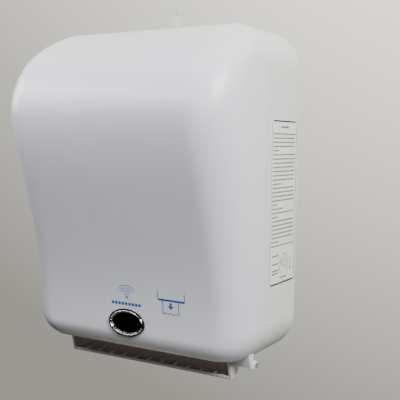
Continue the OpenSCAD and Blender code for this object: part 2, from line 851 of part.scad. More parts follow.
// Lock in the top of the tray
module service_key() {
    color("lightgray") on_front(lock_y + key_t / 2) linear_extrude(key_t) difference() {
        union() {
            translate([0, key_base + key_neck_h + bow_h / 2 - bow_sink]) polygon(oval(bow_w, bow_h));
            translate([-key_neck_w / 2, key_base]) square([key_neck_w, key_neck_h]);
            translate([-blade_w / 2, key_base - blade_l]) square([blade_w, blade_l]);
        }
        translate([0, key_base + key_neck_h + key_hole_share * bow_h]) circle(d = key_hole_d);
    }
}

module lock_barrel() {
    color("gray") difference() {
        union() {
            rod_z(barrel_d, [barrel_low, z_top + slip], [0, lock_y]);
            rod_z(barrel_head_d, [z_top + slip, key_base], [0, lock_y]);
        }
        block([-1, 1] * (blade_w + slip) / 2, [lock_y - (key_t + slip) / 2, lock_y + (key_t + slip) / 2],
            [key_base - blade_l, key_base + through]);
        rod_z(cam_bolt_d, [barrel_low - through, barrel_low + cam_bolt_l], [0, lock_y]);
    }
}

module lock_cam() {
    color("silver") difference() {
        union() {
            rod_z(barrel_d, [cam_z, cam_z + cam_t], [0, lock_y]);
            block([-cam_w / 2, cam_w / 2], [lock_y, lock_y - cam_l], [cam_z, cam_z + cam_t]);
        }
        rod_z(cam_bolt_d, [cam_z - through, cam_z + cam_t + through], [0, lock_y]);
    }
}

module cam_screw() {
    color("gray") translate([0, lock_y, cam_z]) rotate([180, 0, 0]) screw(cam_bolt_d, cam_t + cam_bolt_l);
}

// Chassis of the feed
plate_nose = 4;
plate_chin = 6;
bar_seat = 3;
plate_screw_in = 10;
motor_hole_room = 2;
module plate_outline() {
    low = z_low + plate_low;
    high = z_low + plate_top;
    difference() {
        polygon([[spine_y, low], [spine_y, high], [-pivot_d - plate_nose, high],
            [-plate_front, z_low + pivot_h - plate_chin], [-plate_front, bar_z[0] - bar_seat],
            [plate_foot, chute_top + slip], [plate_foot, low]]);
        translate(feed_axis) circle(d = shaft_d + 2 * bushing_t);
        translate(pivot_axis) circle(d = pivot_pin_d);
        for (at = plate_screw_places) translate(at) circle(d = small_screw_d);
        for (at = chute_screw_places) translate(at) circle(d = screw_d);
    }
}

plate_screw_places = [[spine_y - spine_t / 2, spine_low + plate_screw_in],
    [spine_y - spine_t / 2, spine_high - plate_screw_in], [(bar_y[0] + bar_y[1]) / 2, z_low + sensor_h]];

module chassis_left() {
    color("slategray") on_x(-plate_out) linear_extrude(plate_t) difference() {
        plate_outline();
        translate(motor_axis) circle(d = motor_shaft_d + 2 * motor_hole_room);
        translate(idler_axis) circle(d = idler_pin_d);
        for (at = gear_cover_places) translate(at) circle(d = small_screw_d);
    }
}

module chassis_right() {
    color("slategray") on_x(plate_in) linear_extrude(plate_t) plate_outline();
}

module chassis_spine() {
    color("slategray") difference() {
        block([-plate_in, plate_in], [spine_y, spine_y - spine_t], [spine_low, spine_high]);
        for (at = post_places) rod_y(screw_d, [0, -tray_d], at);
        for (side = [-1, 1], k = [0, 1])
            rod_x(small_screw_d, [side * plate_in, side * (plate_in - small_screw_l)], plate_screw_places[k]);
    }
}

module spine_screws() {
    color("gray") for (at = post_places) screw_front(screw_d, spine_screw_l, [at[0], spine_y - spine_t, at[1]]);
}

module plate_screws() {
    color("gray") for (at = plate_screw_places, side = [-1, 1])
        screw_side(small_screw_d, plate_t + small_screw_l, [side * plate_out, at[0], at[1]], side);
}

module shaft_bushings() {
    color("peru") both_sides() difference() {
        union() {
            rod_x(shaft_d + 2 * bushing_t, [plate_in, plate_out], feed_axis);
            rod_x(shaft_d + 2 * (bushing_t + bushing_flange), [plate_in - bushing_flange, plate_in], feed_axis);
        }
        rod_x(shaft_d + 2 * running, [plate_in - 2 * through, plate_out + through], feed_axis);
    }
}

// Feed roller
sleeve_pitch = feed_w / sleeve_count;
sleeve_places = [for (k = [0 : sleeve_count - 1]) -feed_w / 2 + (k + 0.5) * sleeve_pitch];

// A ring along X around an axis
module ring_x(outer, inner, x, at) {
    difference() {
        rod_x(outer, x, at);
        rod_x(inner, [min(x) - through, max(x) + through], at);
    }
}

module feed_shaft() {
    color("silver") rod_x(shaft_d, [-shaft_end, plate_out + shaft_proud], feed_axis);
}

module feed_drum() {
    color("dimgray") ring_x(drum_d, shaft_d, [-feed_w / 2, feed_w / 2], feed_axis);
}

module feed_sleeves() {
    color("darkslategray") for (x = sleeve_places)
        ring_x(sleeve_d, drum_d, [x - sleeve_w / 2, x + sleeve_w / 2], feed_axis);
}

// Involute spur gears
pressure_angle = 20;
addendum = 0.85 * gear_module;
dedendum = 1.25 * gear_module;
flank_steps = 4;
function involute(r, base) = let (a = acos(min(1, base / r))) tan(a) * 180 / PI - a;
function gear_outline(teeth, phase) =
    let (pitch_r = gear_module * teeth / 2, base = pitch_r * cos(pressure_angle), tip = pitch_r + addendum,
        root = pitch_r - dedendum, start = max(base, root), step = (tip - start) / flank_steps,
        half = 90 / teeth - backlash / pitch_r * 45 / PI + involute(pitch_r, base),
        flank = [for (k = [0 : flank_steps]) let (r = start + k * step) [r, half - involute(r, base)]],
        tooth = concat([[root, -flank[0][1]]], [for (f = flank) [f[0], -f[1]]],
            [for (k = [flank_steps : -1 : 0]) flank[k]], [[root, flank[0][1]]]))
    [for (k = [0 : teeth - 1], p = tooth) let (a = phase + 360 * k / teeth + p[1]) p[0] * [cos(a), sin(a)]];

// Turn of the second gear of a pair so that its gap meets the first one's tooth
function mesh_phase(phase, teeth_a, teeth_b, dir) =
    dir + 180 - teeth_a / teeth_b * (phase - dir) + 180 / teeth_b;

pinion_phase = pinion_dir;
idler_phase = mesh_phase(pinion_phase, pinion_teeth, idler_teeth, pinion_dir);
roller_phase = mesh_phase(idler_phase, idler_teeth, roller_teeth, roller_dir);

module spur_gear(teeth, phase, bore, at) {
    on_x(gear_x) linear_extrude(gear_w) translate(at) difference() {
        polygon(gear_outline(teeth, phase));
        circle(d = bore);
    }
}

module roller_gear() {
    color("wheat") spur_gear(roller_teeth, roller_phase, shaft_d, feed_axis);
}

module idler_gear() {
    color("wheat") spur_gear(idler_teeth, idler_phase, idler_pin_d + 2 * running, idler_axis);
}

module idler_pin() {
    color("silver") {
        rod_x(idler_pin_d, [-plate_in, -gear_cover_x + slip], idler_axis);
        rod_x(idler_pin_d + 2 * collar, [-plate_out, -plate_out - gear_side + slip], idler_axis);
    }
}

motor_bore_l = 10;
motor_boss_l = 2;
module motor() {
    can_end = -plate_in + motor_can_l;
    color("silver") difference() {
        union() {
            rod_x(motor_can_d, [-plate_in, can_end], motor_axis);
            rod_x(motor_can_d / 3, [can_end, can_end + motor_boss_l], motor_axis);
        }
        rod_x(motor_shaft_d + 2 * running, [-plate_in - through, -plate_in + motor_bore_l], motor_axis);
    }
}

module motor_pinion() {
    color("goldenrod") {
        spur_gear(pinion_teeth, pinion_phase, motor_shaft_d, motor_axis);
        rod_x(motor_shaft_d, [-shaft_end, -plate_in + motor_bore_l - slip], motor_axis);
    }
}

// Cup over the gears
function gear_tip(teeth) = gear_module * (teeth / 2 + 1) + gear_room;
gear_lo = [min(feed_axis[0] - gear_tip(roller_teeth), motor_axis[0]),
    min(feed_axis[1] - gear_tip(roller_teeth), motor_axis[1] - gear_tip(pinion_teeth))];
gear_hi = [motor_axis[0] + gear_tip(pinion_teeth), idler_axis[1] + gear_tip(idler_teeth)];
gear_tab = 6;
gear_tab_out = gear_cover_t + gear_tab / 2;
gear_tab_drop = 12;
gear_tab_rise = 8;
gear_cover_places = [[gear_lo[0] - gear_tab_out, feed_axis[1]],
    [gear_hi[0] + gear_tab_out, gear_hi[1] - gear_tab_drop],
    [gear_hi[0] + gear_tab_out, gear_lo[1] + gear_tab_rise]];

module gear_cover() {
    color("slategray") difference() {
        union() {
            block([-plate_out, -gear_cover_x - gear_cover_t],
                [gear_lo[0] - gear_cover_t, gear_hi[0] + gear_cover_t],
                [gear_lo[1] - gear_cover_t, gear_hi[1] + gear_cover_t]);
            for (at = gear_cover_places) block([-plate_out, -plate_out - gear_cover_t],
                [at[0] - gear_tab / 2 - through, at[0] + gear_tab / 2 + through],
                [at[1] - gear_tab, at[1] + gear_tab]);
        }
        block([-plate_out + through, -gear_cover_x], [gear_lo[0], gear_hi[0]], [gear_lo[1], gear_hi[1]]);
        for (at = gear_cover_places) rod_x(small_screw_d, [-plate_out + through, -plate_out - gear_tab], at);
    }
}

module gear_cover_screws() {
    color("gray") for (at = gear_cover_places)
        screw_side(small_screw_d, gear_cover_t + plate_t, [-plate_out - gear_cover_t, at[0], at[1]], -1);
}

// Pinch roller in its sprung frame
pinch_arm_x = [feed_w / 2 + pinch_arm_gap, feed_w / 2 + pinch_arm_gap + pinch_arm_t];
pinch_arm_d = 12;
pinch_bar_w = 9;
pinch_rod_d = 6;
pinch_v = pinch_axis - pivot_axis;
module pinch_frame() {
    color("slategray") {
        both_sides() difference() {
            on_x(pinch_arm_x[0]) linear_extrude(pinch_arm_t) {
                translate(pivot_axis) circle(d = pinch_arm_d);
                translate(pinch_axis) circle(d = pinch_arm_d);
                translate(pivot_axis) rotate(atan2(pinch_v[1], pinch_v[0])) translate([0, -pinch_bar_w / 2])
                    square([norm(pinch_v), pinch_bar_w]);
            }
            rod_x(pivot_pin_d + 2 * running, [0, body_w], pivot_axis);
            rod_x(pinch_shaft_d + 2 * running, [0, body_w], pinch_axis);
        }
        rod_x(pinch_rod_d, [-1, 1] * (pinch_arm_x[0] + through), (pivot_axis + pinch_axis) / 2);
    }
}

module pinch_pivots() {
    color("silver") both_sides() {
        rod_x(pivot_pin_d, [pinch_arm_x[0] - through, plate_out], pivot_axis);
        rod_x(pivot_pin_d + 2 * collar, [plate_out, plate_out + collar_t], pivot_axis);
    }
}

// A coil of round wire along Z from z = 0, with ends that run straight for one wire diameter
coil_sides = 6;
coil_rings = 8;
function coil_path(r, rise, turns, wire) =
    let (steps = turns * coil_rings, rate = rise / steps)
    concat(
        [[r, -wire, 0]],
        [for (k = [0 : steps]) let (a = 360 * k / coil_rings) [r * cos(a), r * sin(a), k * rate]],
        [[r, wire, rise]]);
function coil_ring(path, k, wire) =
    let (p = path[k], end = k == 0 || k == len(path) - 1, a = end ? 0 : atan2(p[1], p[0]))
    let (out = [cos(a), sin(a), 0])
    [for (s = [0 : coil_sides - 1]) let (t = 360 * s / coil_sides)
        p + wire / 2 * (cos(t) * out + sin(t) * [0, 0, 1])];

module coil_spring(r, rise, turns, wire) {
    path = coil_path(r, rise, turns, wire);
    n = len(path);
    polyhedron(
        points = [for (k = [0 : n - 1]) each coil_ring(path, k, wire)],
        faces = concat(
            [for (k = [0 : n - 2], s = [0 : coil_sides - 1], half = [0, 1])
                let (a = k * coil_sides + s, b = k * coil_sides + (s + 1) % coil_sides)
                half == 0 ? [a, b, a + coil_sides] : [b, b + coil_sides, a + coil_sides]],
            [for (s = [1 : coil_sides - 2]) [0, s + 1, s]],
            [for (s = [1 : coil_sides - 2]) let (e = (n - 1) * coil_sides) [e, e + s, e + s + 1]]));
}

pinch_wire = 0.8;
pinch_turns = 3;
pinch_coil_r = pivot_pin_d / 2 + pinch_wire / 2 + slip;
pinch_coil_l = plate_in - pinch_arm_x[1] - pinch_wire - 2 * slip;
coil_seat = 0.1;
module pinch_springs() {
    echo(pinch_spring_gap = pinch_coil_l / pinch_turns - pinch_wire);
    spring_x = pinch_arm_x[1] + pinch_wire / 2 - coil_seat;
    color("silver") both_sides() translate([spring_x, pivot_axis[0], pivot_axis[1]]) rotate([90, 0, 90])
        coil_spring(pinch_coil_r, pinch_coil_l, pinch_turns, pinch_wire);
}

module pinch_shaft() {
    color("silver") rod_x(pinch_shaft_d, [-1, 1] * (pinch_arm_x[1] + through), pinch_axis);
}

module pinch_rollers() {
    color("black") for (x = sleeve_places)
        ring_x(pinch_d, pinch_shaft_d, [x - sleeve_w / 2, x + sleeve_w / 2], pinch_axis);
}

// Roll holder
module arm_outline(root_y) {
    half = arm_end_d / 2;
    difference() {
        union() {
            translate([hub_y, hub_z]) circle(d = arm_end_d);
            polygon([[root_y, hub_z - arm_root / 2], [root_y, hub_z + arm_root / 2],
                [hub_y, hub_z + half], [hub_y, hub_z - half]]);
        }
        translate([hub_y, hub_z]) circle(d = spigot_d);
    }
}

module roll_arm_left() {
    color("slategray") difference() {
        union() {
            on_x(-arm_out) linear_extrude(arm_t) arm_outline(-back_t);
            block([-arm_out - foot_w, -arm_in], [-back_t, -back_t - foot_t],
                [hub_z - lug_z - lug_t, hub_z + lug_z + lug_t]);
        }
        for (at = foot_places) rod_y(screw_d, [0, -tray_d], at);
        pad_relief();
    }
}

// A tapered hub on an arm's inner face, for the arm on the right
module roll_hub() {
    translate([arm_in, hub_y, hub_z]) rotate([0, -90, 0]) cylinder(d1 = hub_d, d2 = hub_tip_d, h = hub_l);
    rod_x(spigot_d, [arm_in - through, arm_out], [hub_y, hub_z]);
}

module roll_hub_left() {
    color("lightsteelblue") mirror([1, 0, 0]) roll_hub();
}

module roll_hub_right() {
    color("lightsteelblue") roll_hub();
}

module arm_bracket() {
    color("slategray") difference() {
        union() {
            block(bracket_x, [-back_t, -back_t - foot_t], [hub_z - lug_z - lug_t, hub_z + lug_z + lug_t]);
            for (z = [hub_z - lug_z - lug_t, hub_z + lug_z]) {
                block([arm_pin_x - arm_knuckle_d / 2, arm_pin_x + arm_knuckle_d / 2], [-back_t, arm_pin_y],
                    [z, z + lug_t]);
                rod_z(arm_knuckle_d, [z, z + lug_t], [arm_pin_x, arm_pin_y]);
            }
        }
        rod_z(arm_pin_d, [hub_z - body_h, hub_z + body_h], [arm_pin_x, arm_pin_y]);
        for (at = foot_places) rod_y(screw_d, [0, -tray_d], at);
        pad_relief();
    }
}

module arm_pin() {
    pin_z = [hub_z - lug_z - lug_t, hub_z + lug_z + lug_t + pin_head_t];
    color("silver") rod_z(arm_pin_d, pin_z, [arm_pin_x, arm_pin_y]);
}

arm_wire = 1;
arm_turns = 4;
arm_coil_l = knuckle_low - (hub_z - lug_z) - arm_wire - 2 * slip;
module arm_spring() {
    echo(arm_spring_gap = arm_coil_l / arm_turns - arm_wire);
    color("silver") translate([arm_pin_x, arm_pin_y, hub_z - lug_z + arm_wire / 2 - coil_seat])
        coil_spring(arm_pin_d / 2 + arm_wire / 2 + slip, arm_coil_l, arm_turns, arm_wire);
}

module roll_arm_right() {
    color("slategray") difference() {
        union() {
            on_x(arm_in) linear_extrude(arm_t) arm_outline(arm_pin_y + arm_root_back);
            rod_z(arm_knuckle_d, [knuckle_low, knuckle_high], [arm_pin_x, arm_pin_y]);
            block([arm_in, arm_pin_x], [arm_pin_y + arm_root_back, arm_pin_y - arm_knuckle_d / 2],
                [knuckle_low, knuckle_high]);
        }
        rod_z(arm_pin_d + 2 * running, [hub_z - body_h, hub_z + body_h], [arm_pin_x, arm_pin_y]);
    }
}

module arm_screws() {
    color("gray") for (at = foot_places) screw_front(screw_d, foot_screw_l, [at[0], -back_t - foot_t, at[1]]);
}

module paper_roll() {
    color("white") ring_x(roll_d, core_d, [-roll_w / 2, roll_w / 2], [hub_y, roll_z]);
}

module roll_core() {
    color("tan") ring_x(core_d, core_in_d, [-roll_w / 2, roll_w / 2], [hub_y, roll_z]);
}

// Battery box with two rows of two cells
row_zs = [for (k = [0, 1]) box_z + box_t + cell_d / 2 + cell_room + k * (cell_d + 2 * cell_room + box_t)];
cell_y = -(back_t + box_t + cell_d / 2 + slip);
module battery_box() {
    color("slategray") difference() {
        union() {
            block([-box_x, box_x], [-back_t, box_front], [box_z, box_top]);
            for (z = [[box_z - rail_t, box_z + rail_t], [box_top - rail_t, box_top + rail_t]])
                block([-box_x, box_x], [box_front + 2 * rail_t, box_front - lid_t - 2 * slip - rail_t], z);
        }
        for (z = row_zs)
            block([-1, 1] * box_in_x / 2, [-back_t - box_t, box_front - body_w],
                [z - cell_d / 2 - cell_room, z + cell_d / 2 + cell_room]);
        block([-1, 1] * (box_x + through), [box_front, box_front - lid_t - 2 * slip], [box_z, box_top]);
        block([-1, 1] * (box_x + through), [box_front - lid_t, box_front - body_w],
            [box_z + rail_t, box_top - rail_t]);
    }
}

module batteries() {
    nub = 2.5;
    nub_d = cell_d / 3.5;
    color("darkolivegreen") for (z = row_zs, k = [0, 1]) {
        rod_x(cell_d, [k * cell_l - cell_l, k * cell_l - nub], [cell_y, z]);
        rod_x(nub_d, [k * cell_l - nub, k * cell_l - (1 - k) * slip], [cell_y, z]);
    }
}

module battery_contacts() {
    contact_t = 0.8;
    contact_w = 14;
    color("silver") for (z = row_zs, side = [-1, 1]) {
        block([side * box_in_x / 2, side * (box_in_x / 2 - contact_t)],
            [cell_y - contact_w / 2, cell_y + contact_w / 2], [z - contact_w / 2, z + contact_w / 2]);
        rod_x(contact_w / 2, [side * (box_in_x / 2 - contact_t), side * cell_l], [cell_y, z]);
    }
}

module battery_lid() {
    grip_pitch = 10;
    grip_w = 3;
    grip_t = 1;
    grip_in = 20;
    lid_front = box_front - slip - lid_t;
    color("slategray") {
        block([-box_x, box_x], [box_front - slip, lid_front], [box_z + slip, box_top - slip]);
        for (x = [-grip_pitch, 0, grip_pitch])
            block([x - grip_w / 2, x + grip_w / 2], [lid_front, lid_front - grip_t],
                [box_z + grip_in, box_top - grip_in]);
    }
}

// Control box beside the battery box
panel_screw_in = 5;
control_places = [for (x = [control_x + panel_screw_in, control_x + control_w - panel_screw_in],
    z = [control_low + panel_screw_in, control_low + control_z - panel_screw_in]) [x, z]];
panel_post_d = 7;
board_y = control_front + board_gap;
board_in = panel_screw_in + panel_post_d / 2 + slip;
board_z = [control_low + board_in, control_low + control_z - board_in];
ledge_w = 4;
module control_box() {
    color("slategray") difference() {
        union() {
            difference() {
                block([control_x, control_x + control_w], [-back_t, control_front],
                    [control_low, control_low + control_z]);
                block([control_x + box_t, control_x + control_w - box_t],
                    [-back_t - box_t, control_front - through],
                    [control_low + box_t, control_low + control_z - box_t]);
            }
            for (at = control_places) rod_y(panel_post_d, [-back_t, control_front], at);
            for (x = [control_x, control_x + control_w - ledge_w])
                block([x, x + ledge_w], [-back_t, board_y + board_t], board_z);
        }
        for (at = control_places)
            rod_y(small_screw_d, [control_front + small_screw_l, control_front - through], at);
    }
}

module control_board() {
    color("darkgreen") block([control_x + box_t + slip, control_x + control_w - box_t - slip],
        [board_y, board_y + board_t], board_z);
}

module control_panel() {
    color("lightgray") difference() {
        block([control_x, control_x + control_w], [control_front, control_front - panel_t],
            [control_low, control_low + control_z]);
        rod_y(button_d + 2 * slip, [0, -tray_d], [button_x, button_z]);
        block([slider_x - knob_w / 2 - slider_travel - slip, slider_x + knob_w / 2 + slider_travel + slip],
            [0, -tray_d], [slider_z - knob_h / 2 - slip, slider_z + knob_h / 2 + slip]);
        rod_y(lamp_d, [0, -tray_d], [lamp_x, lamp_z]);
        for (at = control_places) rod_y(small_screw_d, [0, -tray_d], at);
    }
}

module panel_screws() {
    color("gray") for (at = control_places)
        screw_front(small_screw_d, small_screw_l, [at[0], control_front - panel_t, at[1]]);
}

button_stop = 1;
button_proud = button_travel + button_stop;
flange_t = 1.2;
flange_w = 2;
knob_proud = 2;
flange_y = control_front + slip;
module feed_button() {
    color("steelblue") {
        rod_y(button_d, [flange_y, control_front - panel_t - button_proud], [button_x, button_z]);
        rod_y(button_d + 2 * flange_w, [flange_y, flange_y + flange_t], [button_x, button_z]);
    }
}

module length_slider() {
    color("black") {
        block([slider_x - knob_w / 2, slider_x + knob_w / 2], [flange_y, control_front - panel_t - knob_proud],
            [slider_z - knob_h / 2, slider_z + knob_h / 2]);
        block([slider_x - knob_w / 2, slider_x + knob_w / 2], [flange_y, flange_y + flange_t],
            [slider_z - knob_h, slider_z + knob_h]);
    }
}

module status_lamp() {
    color("limegreen") translate([lamp_x, control_front, lamp_z]) rotate([90, 0, 0]) {
        cylinder(d = lamp_d, h = panel_t);
        translate([0, 0, panel_t]) sphere(d = lamp_d);
    }
}

rear_housing();
front_cover();
hinge_pins();
paper_chute();
chute_guide();
tear_bar();
tear_bar_screws();
chute_screws();
sensor_bezel();
sensor_window();
sensor_bar();
sensor_board();
sensor_eyes();
side_label();
service_key();
lock_barrel();
lock_cam();
cam_screw();
chassis_left();
chassis_right();
chassis_spine();
spine_screws();
plate_screws();
shaft_bushings();
feed_shaft();
feed_drum();
feed_sleeves();
roller_gear();
idler_gear();
idler_pin();
motor();
motor_pinion();
gear_cover();
gear_cover_screws();
pinch_frame();
pinch_pivots();
pinch_springs();
pinch_shaft();
pinch_rollers();
roll_arm_left();
roll_hub_left();
arm_bracket();
arm_pin();
arm_spring();
roll_arm_right();
roll_hub_right();
arm_screws();
paper_roll();
roll_core();
battery_box();
batteries();
battery_contacts();
battery_lid();
control_box();
control_board();
control_panel();
panel_screws();
feed_button();
length_slider();
status_lamp();
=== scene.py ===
"""Looks of a wall-mounted automatic paper towel dispenser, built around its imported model."""
import logging
import math
from dataclasses import dataclass, field
from enum import Enum
from typing import Callable, NamedTuple, Sequence, Union

import bmesh
import bpy
import numpy as np
from mathutils import Matrix, Vector


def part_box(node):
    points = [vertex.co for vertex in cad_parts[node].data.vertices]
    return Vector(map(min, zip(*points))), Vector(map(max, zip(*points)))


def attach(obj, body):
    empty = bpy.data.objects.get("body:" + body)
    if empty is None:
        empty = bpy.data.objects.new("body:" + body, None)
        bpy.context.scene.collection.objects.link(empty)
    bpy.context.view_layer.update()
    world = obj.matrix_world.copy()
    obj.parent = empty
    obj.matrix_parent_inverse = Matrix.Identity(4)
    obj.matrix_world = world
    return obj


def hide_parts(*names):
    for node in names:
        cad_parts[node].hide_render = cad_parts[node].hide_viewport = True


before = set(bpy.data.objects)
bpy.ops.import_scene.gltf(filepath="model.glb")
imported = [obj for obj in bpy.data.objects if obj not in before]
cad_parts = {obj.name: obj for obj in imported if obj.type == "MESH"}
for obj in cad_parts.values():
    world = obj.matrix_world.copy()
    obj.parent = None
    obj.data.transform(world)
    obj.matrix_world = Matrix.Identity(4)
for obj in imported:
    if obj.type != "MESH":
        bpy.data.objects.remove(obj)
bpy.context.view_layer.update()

LOG = logging.getLogger("dispenser")
Colour = tuple[float, float, float]
Point = tuple[float, float, float]
Flat = tuple[float, float]
Loop = list[Flat]
Value = Union["Sock", float, Sequence[float]]


def tone(red: int, green: int, blue: int) -> Colour:
    """Linear colour of a display colour given in steps of 255, by the standard curve of displays."""
    shares = (red / 255, green / 255, blue / 255)
    return tuple(s / 12.92 if s < 0.0405 else ((s + 0.055) / 1.055) ** 2.4 for s in shares)


def scaled(colour: Colour, by: Colour) -> Colour:
    """Colour with its red, green and blue each times a share."""
    return tuple(c * share for c, share in zip(colour, by))


def dimmed(colour: Colour, share: float) -> Colour:
    """Colour at a share of its brightness."""
    return scaled(colour, (share, share, share))


class Axis(Enum):
    """Direction that a turned or extruded form runs along, as its columns u, v and run."""

    X = ((0, 1, 0), (0, 0, 1), (1, 0, 0))
    Y = ((1, 0, 0), (0, 0, 1), (0, 1, 0))
    Z = ((1, 0, 0), (0, 1, 0), (0, 0, 1))

    def place(self, u: float, v: float, run: float) -> Vector:
        """Point of the frame for a place u, v across and run along the direction."""
        across, up, along = (Vector(c) for c in self.value)
        return across * u + up * v + along * run


class Zone(Enum):
    """Part of the cover's middle line that a row of its surface belongs to."""

    CROWN = "crown"
    FRONT = "front"
    FOOT = "foot"


class Speckle(NamedTuple):
    """Size of a noise: features in a metre, finer layers in it, and its stretch along each axis."""

    scale: float
    detail: float = 2.0
    stretch: Point = (1.0, 1.0, 1.0)


class Sock:
    """A shader socket that takes part in Python expressions."""

    def __init__(self, graph: "Graph", socket: bpy.types.NodeSocket) -> None:
        """Keeps the socket and the graph that it belongs to."""
        self.graph = graph
        self.socket = socket

    def __add__(self, other: Value) -> "Sock":
        """Sum."""
        return self.graph.maths("ADD", self, other)

    def __radd__(self, other: Value) -> "Sock":
        """Sum with a number in front."""
        return self.graph.maths("ADD", other, self)

    def __sub__(self, other: Value) -> "Sock":
        """Difference."""
        return self.graph.maths("SUBTRACT", self, other)

    def __rsub__(self, other: Value) -> "Sock":
        """Difference from a number in front."""
        return self.graph.maths("SUBTRACT", other, self)

    def __mul__(self, other: Value) -> "Sock":
        """Product."""
        return self.graph.maths("MULTIPLY", self, other)

    def __rmul__(self, other: Value) -> "Sock":
        """Product with a number in front."""
        return self.graph.maths("MULTIPLY", other, self)

    def __pow__(self, other: Value) -> "Sock":
        """Power."""
        return self.graph.maths("POWER", self, other)

    def __rpow__(self, other: Value) -> "Sock":
        """Power of a number in front."""
        return self.graph.maths("POWER", other, self)

    def __gt__(self, other: Value) -> "Sock":
        """One where this is greater, and zero elsewhere."""
        return self.graph.maths("GREATER_THAN", self, other)

    def __lt__(self, other: Value) -> "Sock":
        """One where this is less, and zero elsewhere."""
        return self.graph.maths("LESS_THAN", self, other)

    def __abs__(self) -> "Sock":
        """Size without its sign."""
        return self.graph.maths("ABSOLUTE", self)


class Graph:
    """Node tree of one material, or of the world."""

    def __init__(self, holder: bpy.types.Material | bpy.types.World) -> None:
        """Empties a node tree.

        Args:
            holder: the new material or world that it belongs to.
        """
        holder.use_nodes = True
        self.tree = holder.node_tree
        self.tree.nodes.clear()

    def node(
        self, kind: str, settings: dict | None = None, sockets: dict | None = None, out: int | str = 0
    ) -> Sock:
        """Adds a node.

        Args:
            kind: Blender's type name of the node.
            settings: properties, which are set first.
            sockets: values or links of the inputs, by name or place.
            out: the output to return.

        Returns:
            The chosen output.
        """
        made = self.tree.nodes.new(kind)
        for key, value in (settings or {}).items():
            setattr(made, key, value)
        for key, value in (sockets or {}).items():
            self.feed(made.inputs[key], value)
        return Sock(self, made.outputs[out])

    def feed(self, socket: bpy.types.NodeSocket, value: Value) -> None:
        """Links a socket's value, or sets it.

        Args:
            socket: an input of a node.
            value: what goes into it.
        """
        if isinstance(value, Sock):
            self.tree.links.new(value.socket, socket)
        elif hasattr(value, "__len__") and socket.type == "RGBA":
            socket.default_value = (*value, 1.0)
        else:
            socket.default_value = value

    def maths(self, operation: str, *values: Value) -> Sock:
        """Result of a Math node on up to three values."""
        return self.node("ShaderNodeMath", {"operation": operation}, dict(enumerate(values)))

    def place(self, stretch: Point = (1.0, 1.0, 1.0)) -> Sock:
        """Place on the piece in metres, stretched along each axis."""
        here = self.node("ShaderNodeTexCoord", out="Object")
        return self.node("ShaderNodeVectorMath", {"operation": "MULTIPLY"}, {0: here, 1: stretch})

    def split(self, vector: Sock) -> tuple[Sock, Sock, Sock]:
        """A vector as three numbers."""
        outputs = self.node("ShaderNodeSeparateXYZ", None, {0: vector}).socket.node.outputs
        return tuple(Sock(self, output) for output in outputs)

    def axes(self) -> tuple[Sock, Sock, Sock]:
        """Place on the piece as three numbers."""
        return self.split(self.place())

    def away(self, first: Sock, second: Sock, centre: Flat) -> Sock:
        """Distance of a place from a centre, across two directions."""
        return ((first - centre[0]) ** 2.0 + (second - centre[1]) ** 2.0) ** 0.5

    def noise(self, size: Speckle) -> Sock:
        """Soft noise from 0 to 1."""
        sockets = {"Vector": self.place(size.stretch), "Scale": size.scale, "Detail": size.detail}
        return self.node("ShaderNodeTexNoise", None, sockets)

    def mix(self, factor: Value, first: Value, second: Value) -> Sock:
        """Mix of two colours."""
        # Of the node's sockets, inputs 6 and 7 and output 2 are the ones for colours.
        settings = {"data_type": "RGBA", "blend_type": "MIX", "clamp_factor": True}
        return self.node("ShaderNodeMix", settings, {0: factor, 6: first, 7: second}, 2)

    def band(self, value: Value, low: float, high: float) -> Sock:
        """Smooth step of a value, 0 at low and 1 at high."""
        settings = {"interpolation_type": "SMOOTHSTEP"}
        return self.node("ShaderNodeMapRange", settings, {0: value, 1: low, 2: high, 3: 0.0, 4: 1.0})

    def bump(self, height: Value, depth: float, rounding: float = 0.0, strength: float = 1.0) -> Sock:
        """Gives a surface a fine relief.

        Args:
            height: relief from 0 to 1.
            depth: depth of the relief in metres.
            rounding: radius that sharp edges are softened to.
            strength: share of the relief that shows.

        Returns:
            The normal.
        """
        sockets = {"Strength": strength, "Distance": depth, "Height": height}
        if rounding:
            sockets["Normal"] = self.node("ShaderNodeBevel", {"samples": 4}, {0: rounding})
        return self.node("ShaderNodeBump", None, sockets)

    def surface(self, sockets: dict) -> None:
        """Adds the surface shader and the output."""
        self.end("ShaderNodeOutputMaterial", self.node("ShaderNodeBsdfPrincipled", None, sockets))

    def end(self, kind: str, shader: Sock) -> None:
        """Links a shader to an output."""
        self.feed(self.tree.nodes.new(kind).inputs["Surface"], shader)


@dataclass(frozen=True)
class Finish:
    """A surface finish, made into a material once."""

    name: str

    def material(self) -> bpy.types.Material:
        """Makes the finish into a material, or finds the one made before.

        Returns:
            The material.
        """
        made = bpy.data.materials.get(f"finish_{self.name}")
        if made is None:
            made = bpy.data.materials.new(f"finish_{self.name}")
            self.paint(Graph(made))
        return made

    def paint(self, graph: Graph) -> None:
        """Fills the material's node tree."""
        raise NotImplementedError


